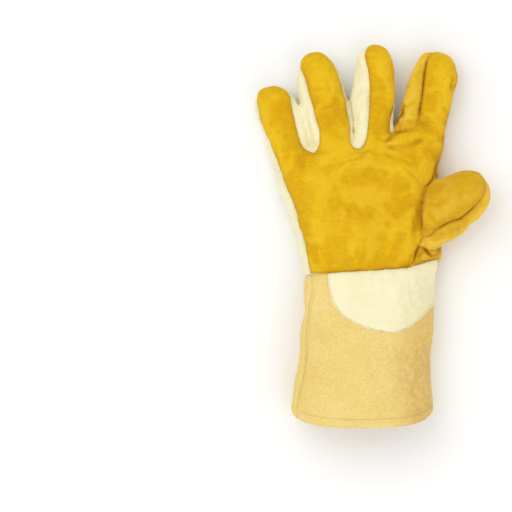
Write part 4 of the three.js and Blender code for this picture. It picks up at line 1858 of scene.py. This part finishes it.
@dataclass
class Hand:
    """The palm, the saddle under the thumb and the ribbed back."""

    leather: float = 2.3
    cloth: float = 2.5
    pitch: float = 3.2
    beside_ridge: float = 3.2
    beside_edge: float = 2.6
    wrist: float = -36.0

    def build(self, shop: Workshop) -> None:
        """Make the hand's panels and the stitches of the back's raised seams and of its leather edge.

        Args:
            shop: The workshop.
        """
        hides = shop.finishes
        shop.wall("palm", Panel.PALM, self.leather, hides.palm, Slot.LEATHER)
        shop.wall("saddle", Panel.SADDLE, self.leather, hides.thumb, Slot.LEATHER)
        shop.wall("back", Panel.BACK, self.cloth, hides.cream, Slot.CREAM)
        for number, seam in enumerate(RAISED_SEAMS, 1):
            row = Row(shifted(seam.line, self.beside_ridge), self.pitch, side=Side.DOWN)
            shop.sew(f"back_seam_stitches_{number}", row, hides.cream_thread)
        edge = [place for place in smooth_line(BACK_SEAM) if place[1] > self.wrist]
        row = Row(shifted(edge, self.beside_edge), self.pitch, side=Side.DOWN)
        shop.sew("back_edge_stitches", row, hides.gold_thread)


@dataclass
class Thumb:
    """The two halves of the thumb, and the stitches beside their seam."""

    leather: float = 2.3
    pitch: float = 3.0
    thread: float = 0.28
    beside: Point = (-0.9, 1.7)

    def build(self, shop: Workshop) -> None:
        """Make the thumb's panels and its row of stitches.

        Args:
            shop: The workshop.
        """
        hides = shop.finishes
        shop.wall("thumb_face", Panel.THUMB_FRONT, self.leather, hides.thumb, Slot.LEATHER)
        # The wrap takes the paler suede, with painted light
        shop.wall("thumb_wrap", Panel.THUMB_BACK, self.leather, hides.light, Slot.LEATHER)
        row = Row(shifted(THUMB_SEAM[2:-3], *self.beside), self.pitch, self.thread)
        shop.sew("thumb_stitches", row, hides.gold_thread)


@dataclass
class IndexFinger:
    """The index finger's leather side and back, and the sewn line along its palm face."""

    leather: float = 2.3
    pitch: float = 3.0
    thread: float = 0.28
    beside: float = 1.9

    def build(self, shop: Workshop) -> None:
        """Make the finger's panels and its row of stitches.

        Args:
            shop: The workshop.
        """
        hides = shop.finishes
        # The side panel takes the paler suede, with painted light
        shop.wall("index_side", Panel.INDEX_SIDE, self.leather, hides.light, Slot.LEATHER)
        shop.wall("index_back", Panel.INDEX_BACK, self.leather, hides.thumb, Slot.LEATHER)
        row = Row(shifted(INDEX_SEAM[3:-1], self.beside), self.pitch, self.thread)
        shop.sew("index_stitches", row, hides.gold_thread)


@dataclass
class FingerWalls:
    """The cream side walls between the fingers."""

    cloth: float = 2.3

    def build(self, shop: Workshop) -> None:
        """Make the three side walls.

        Args:
            shop: The workshop.
        """
        for panel in (Panel.LITTLE_RING, Panel.RING_MIDDLE, Panel.MIDDLE_INDEX):
            name = panel.value.replace("fourchette", "wall")
            shop.wall(name, panel, self.cloth, shop.finishes.cream_fine, Slot.CREAM)


@dataclass
class Cuff:
    """The long open cuff with its side seam and stitched hem."""

    cloth: float = 2.8
    seam_width: float = 4.0
    seam_rise: float = 0.7
    seam_foot: float = 24.0
    seam_sewn: tuple[float, float] = (-158.0, -46.0)
    beside: float = 3.4
    hem_margin: float = 6.0
    pitch: float = 3.2

    def seam_depth(self, places: np.ndarray) -> np.ndarray:
        """Measure how deep places lie inside the side seam's strip, in millimetres.

        Args:
            places: Array of places.

        Returns:
            The depth of each, negative outside.
        """
        within = self.seam_width / 2 - line_distance(places, smooth_line(CUFF_SEAM))[0]
        above = np.minimum(places[:, 2] - self.seam_foot, BELOW_WRIST.depth(places))
        return np.minimum(np.minimum(within, above), HEM.depth(places))

    def build(self, shop: Workshop) -> None:
        """Make the cuff, its side seam and its stitches.

        Args:
            shop: The workshop.
        """
        cloths = shop.finishes
        shop.wall("cuff_body", Panel.CUFF, self.cloth, cloths.cuff, Slot.CUFF)
        ridge = shop.overlay(self.seam_depth, self.seam_rise, self.seam_width / 2, Trim(shade=0.15))
        shop.finish_piece("cuff_seam_ridge", ridge, cloths.cuff, "cuff_side_seam")
        low, high = self.seam_sewn
        sewn = [place for place in smooth_line(CUFF_SEAM) if low < place[1] < high]
        row = Row(shifted(sewn, self.beside), self.pitch, 0.28)
        shop.sew("side_seam_stitches", row, cloths.tan_thread)
        reach = HEM.half - self.hem_margin
        across = np.linspace(HEM.centre_x - reach, HEM.centre_x + reach, 40)
        hem = list(zip(across.tolist(), (HEM.edge(across) + HEM.width).tolist()))
        for name, side in (("hem_stitches_up", Side.UP), ("hem_stitches_down", Side.DOWN)):
            shop.sew(name, Row(hem, self.pitch, side=side), cloths.tan_thread)


@dataclass
class WristPatch:
    """The cream half-moon that is sewn over the wrist."""

    rise: float = 1.0
    rounding: float = 1.0
    trim: Trim = Trim(groove=0.25, groove_at=1.3, shade=0.45)
    foot: float = 20.0
    wrist: float = -36.0
    pitch: float = 2.6

    def depth(self, places: np.ndarray) -> np.ndarray:
        """Measure how deep places lie inside the patch, in millimetres.

        Args:
            places: Array of places.

        Returns:
            The depth of each, negative outside.
        """
        uneven = 0.3 * np.sin(0.62 * places[:, 0]) + 0.25 * np.sin(0.27 * places[:, 0] + 0.4 * places[:, 1])
        inside = signed_distance(places, smooth_line(PATCH_EDGE)) + uneven
        above = np.minimum(-make_regions()[Panel.PALM].depth(places), BELOW_WRIST.depth(places))
        return np.minimum(np.minimum(inside, places[:, 2] - self.foot), above)

    def build(self, shop: Workshop) -> None:
        """Make the patch and its row of stitches.

        Args:
            shop: The workshop.
        """
        patch = shop.overlay(self.depth, self.rise, self.rounding, self.trim)
        edge = spline(PATCH_EDGE, 2.0)
        along = np.gradient(edge, axis=0)
        along /= np.linalg.norm(along, axis=1, keepdims=True)
        line = edge + self.trim.groove_at * np.stack([-along[:, 1], along[:, 0]], axis=1)
        row = Row([tuple(place) for place in line if place[1] < self.wrist], self.pitch)
        face = BVHTree.FromBMesh(patch)
        shop.finish_piece("half_moon_patch", patch, shop.finishes.cream_fine, "wrist_patch")
        shop.sew("patch_stitches", row, shop.finishes.tan_thread, face)


def cut_panels(skin: GloveSkin) -> dict[Panel, bmesh.types.BMesh]:
    """Cut the skin into its panels.

    Args:
        skin: The whole surface, which is kept.

    Returns:
        The surface of each panel.
    """
    left, beyond = split_by(skin.mesh.copy(), HEM.depth)
    beyond.free()
    panels = {}
    for panel, region in skin.regions.items():
        panels[panel], left = split_by(left, region.depth)
    panels[Panel.BACK] = left
    return panels


@dataclass(frozen=True)
class Lamp:
    """A square soft light that faces the glove: its place and side in metres, and its power in watts."""

    name: str
    place: tuple[float, float, float]
    size: float
    power: float

    def hang(self) -> None:
        """Hang the light."""
        light = bpy.data.lights.new(self.name, "AREA")
        light.shape = "SQUARE"
        light.size = self.size
        light.energy = self.power
        lamp = add_object(self.name, light)
        lamp.location = self.place
        lamp.rotation_euler = (-Vector(self.place)).to_track_quat("-Z", "Y").to_euler()


@dataclass
class Studio:
    """The pale floor, the soft lights and the camera, straight above as in the photograph; millimetres."""

    photo_centre: Point = (-108.6, -18.6)
    frame_width: float = 476.2
    camera_height: float = 4000.0
    sensor: float = 36.0
    level: float = 18.0
    floor_drop: float = 0.4
    floor_half: float = 3000.0
    floor_tone: float = 0.93
    sky: float = 0.75
    lamps: tuple[Lamp, ...] = (
        Lamp("key", (-0.7, 0.5, 1.3), 1.5, 9.0),
        Lamp("fill", (0.9, -0.5, 1.1), 1.4, 3.6),
        Lamp("low_fill", (0.1, -1.3, 0.6), 1.2, 3.0),
    )

    def build(self) -> None:
        """Set up the floor, the lights and the camera."""
        self.add_floor()
        for lamp in self.lamps:
            lamp.hang()
        world = bpy.data.worlds.new("studio")
        world.use_nodes = True
        background = world.node_tree.nodes["Background"]
        background.inputs["Color"].default_value = (1, 1, 1, 1)
        background.inputs["Strength"].default_value = self.sky
        bpy.context.scene.world = world
        bpy.context.scene.view_settings.view_transform = "Standard"
        self.add_camera()

    def add_floor(self) -> None:
        """Lay the pale floor just under the glove."""
        mesh = bmesh.new()
        drop = Matrix.Translation((0, 0, -self.floor_drop * MM))
        bmesh.ops.create_grid(mesh, x_segments=1, y_segments=1, size=self.floor_half * MM, matrix=drop)
        floor = add_object("floor", store("floor", mesh))
        material = bpy.data.materials.new("pale_floor")
        material.use_nodes = True
        shader = material.node_tree.nodes["Principled BSDF"]
        shader.inputs["Base Color"].default_value = (self.floor_tone, self.floor_tone, self.floor_tone, 1)
        shader.inputs["Roughness"].default_value = 0.9
        floor.data.materials.append(material)

    def add_camera(self) -> None:
        """Hang the camera over the middle of the photograph's frame."""
        camera = bpy.data.cameras.new("camera")
        camera.sensor_width = self.sensor
        camera.lens = self.sensor * (self.camera_height - self.level) / self.frame_width
        camera.clip_end = 20.0
        holder = add_object("camera", camera)
        x, y = np.array(self.photo_centre) - MIDDLE[:2]
        holder.location = (x * MM, y * MM, self.camera_height * MM)
        bpy.context.scene.camera = holder


def main() -> None:
    """Build the glove, its sub-assemblies in order, and the studio round it."""
    logging.basicConfig(level=logging.INFO, format="%(message)s", stream=sys.stdout)
    Studio().build()
    skin = GloveSkin()
    skin.build()
    shop = Workshop(skin, cut_panels(skin), Finishes(), BVHTree.FromBMesh(skin.mesh))
    for assembly in (Hand(), Thumb(), IndexFinger(), FingerWalls(), Cuff(), WristPatch()):
        assembly.build(shop)


if __name__ == "__main__":
    main()
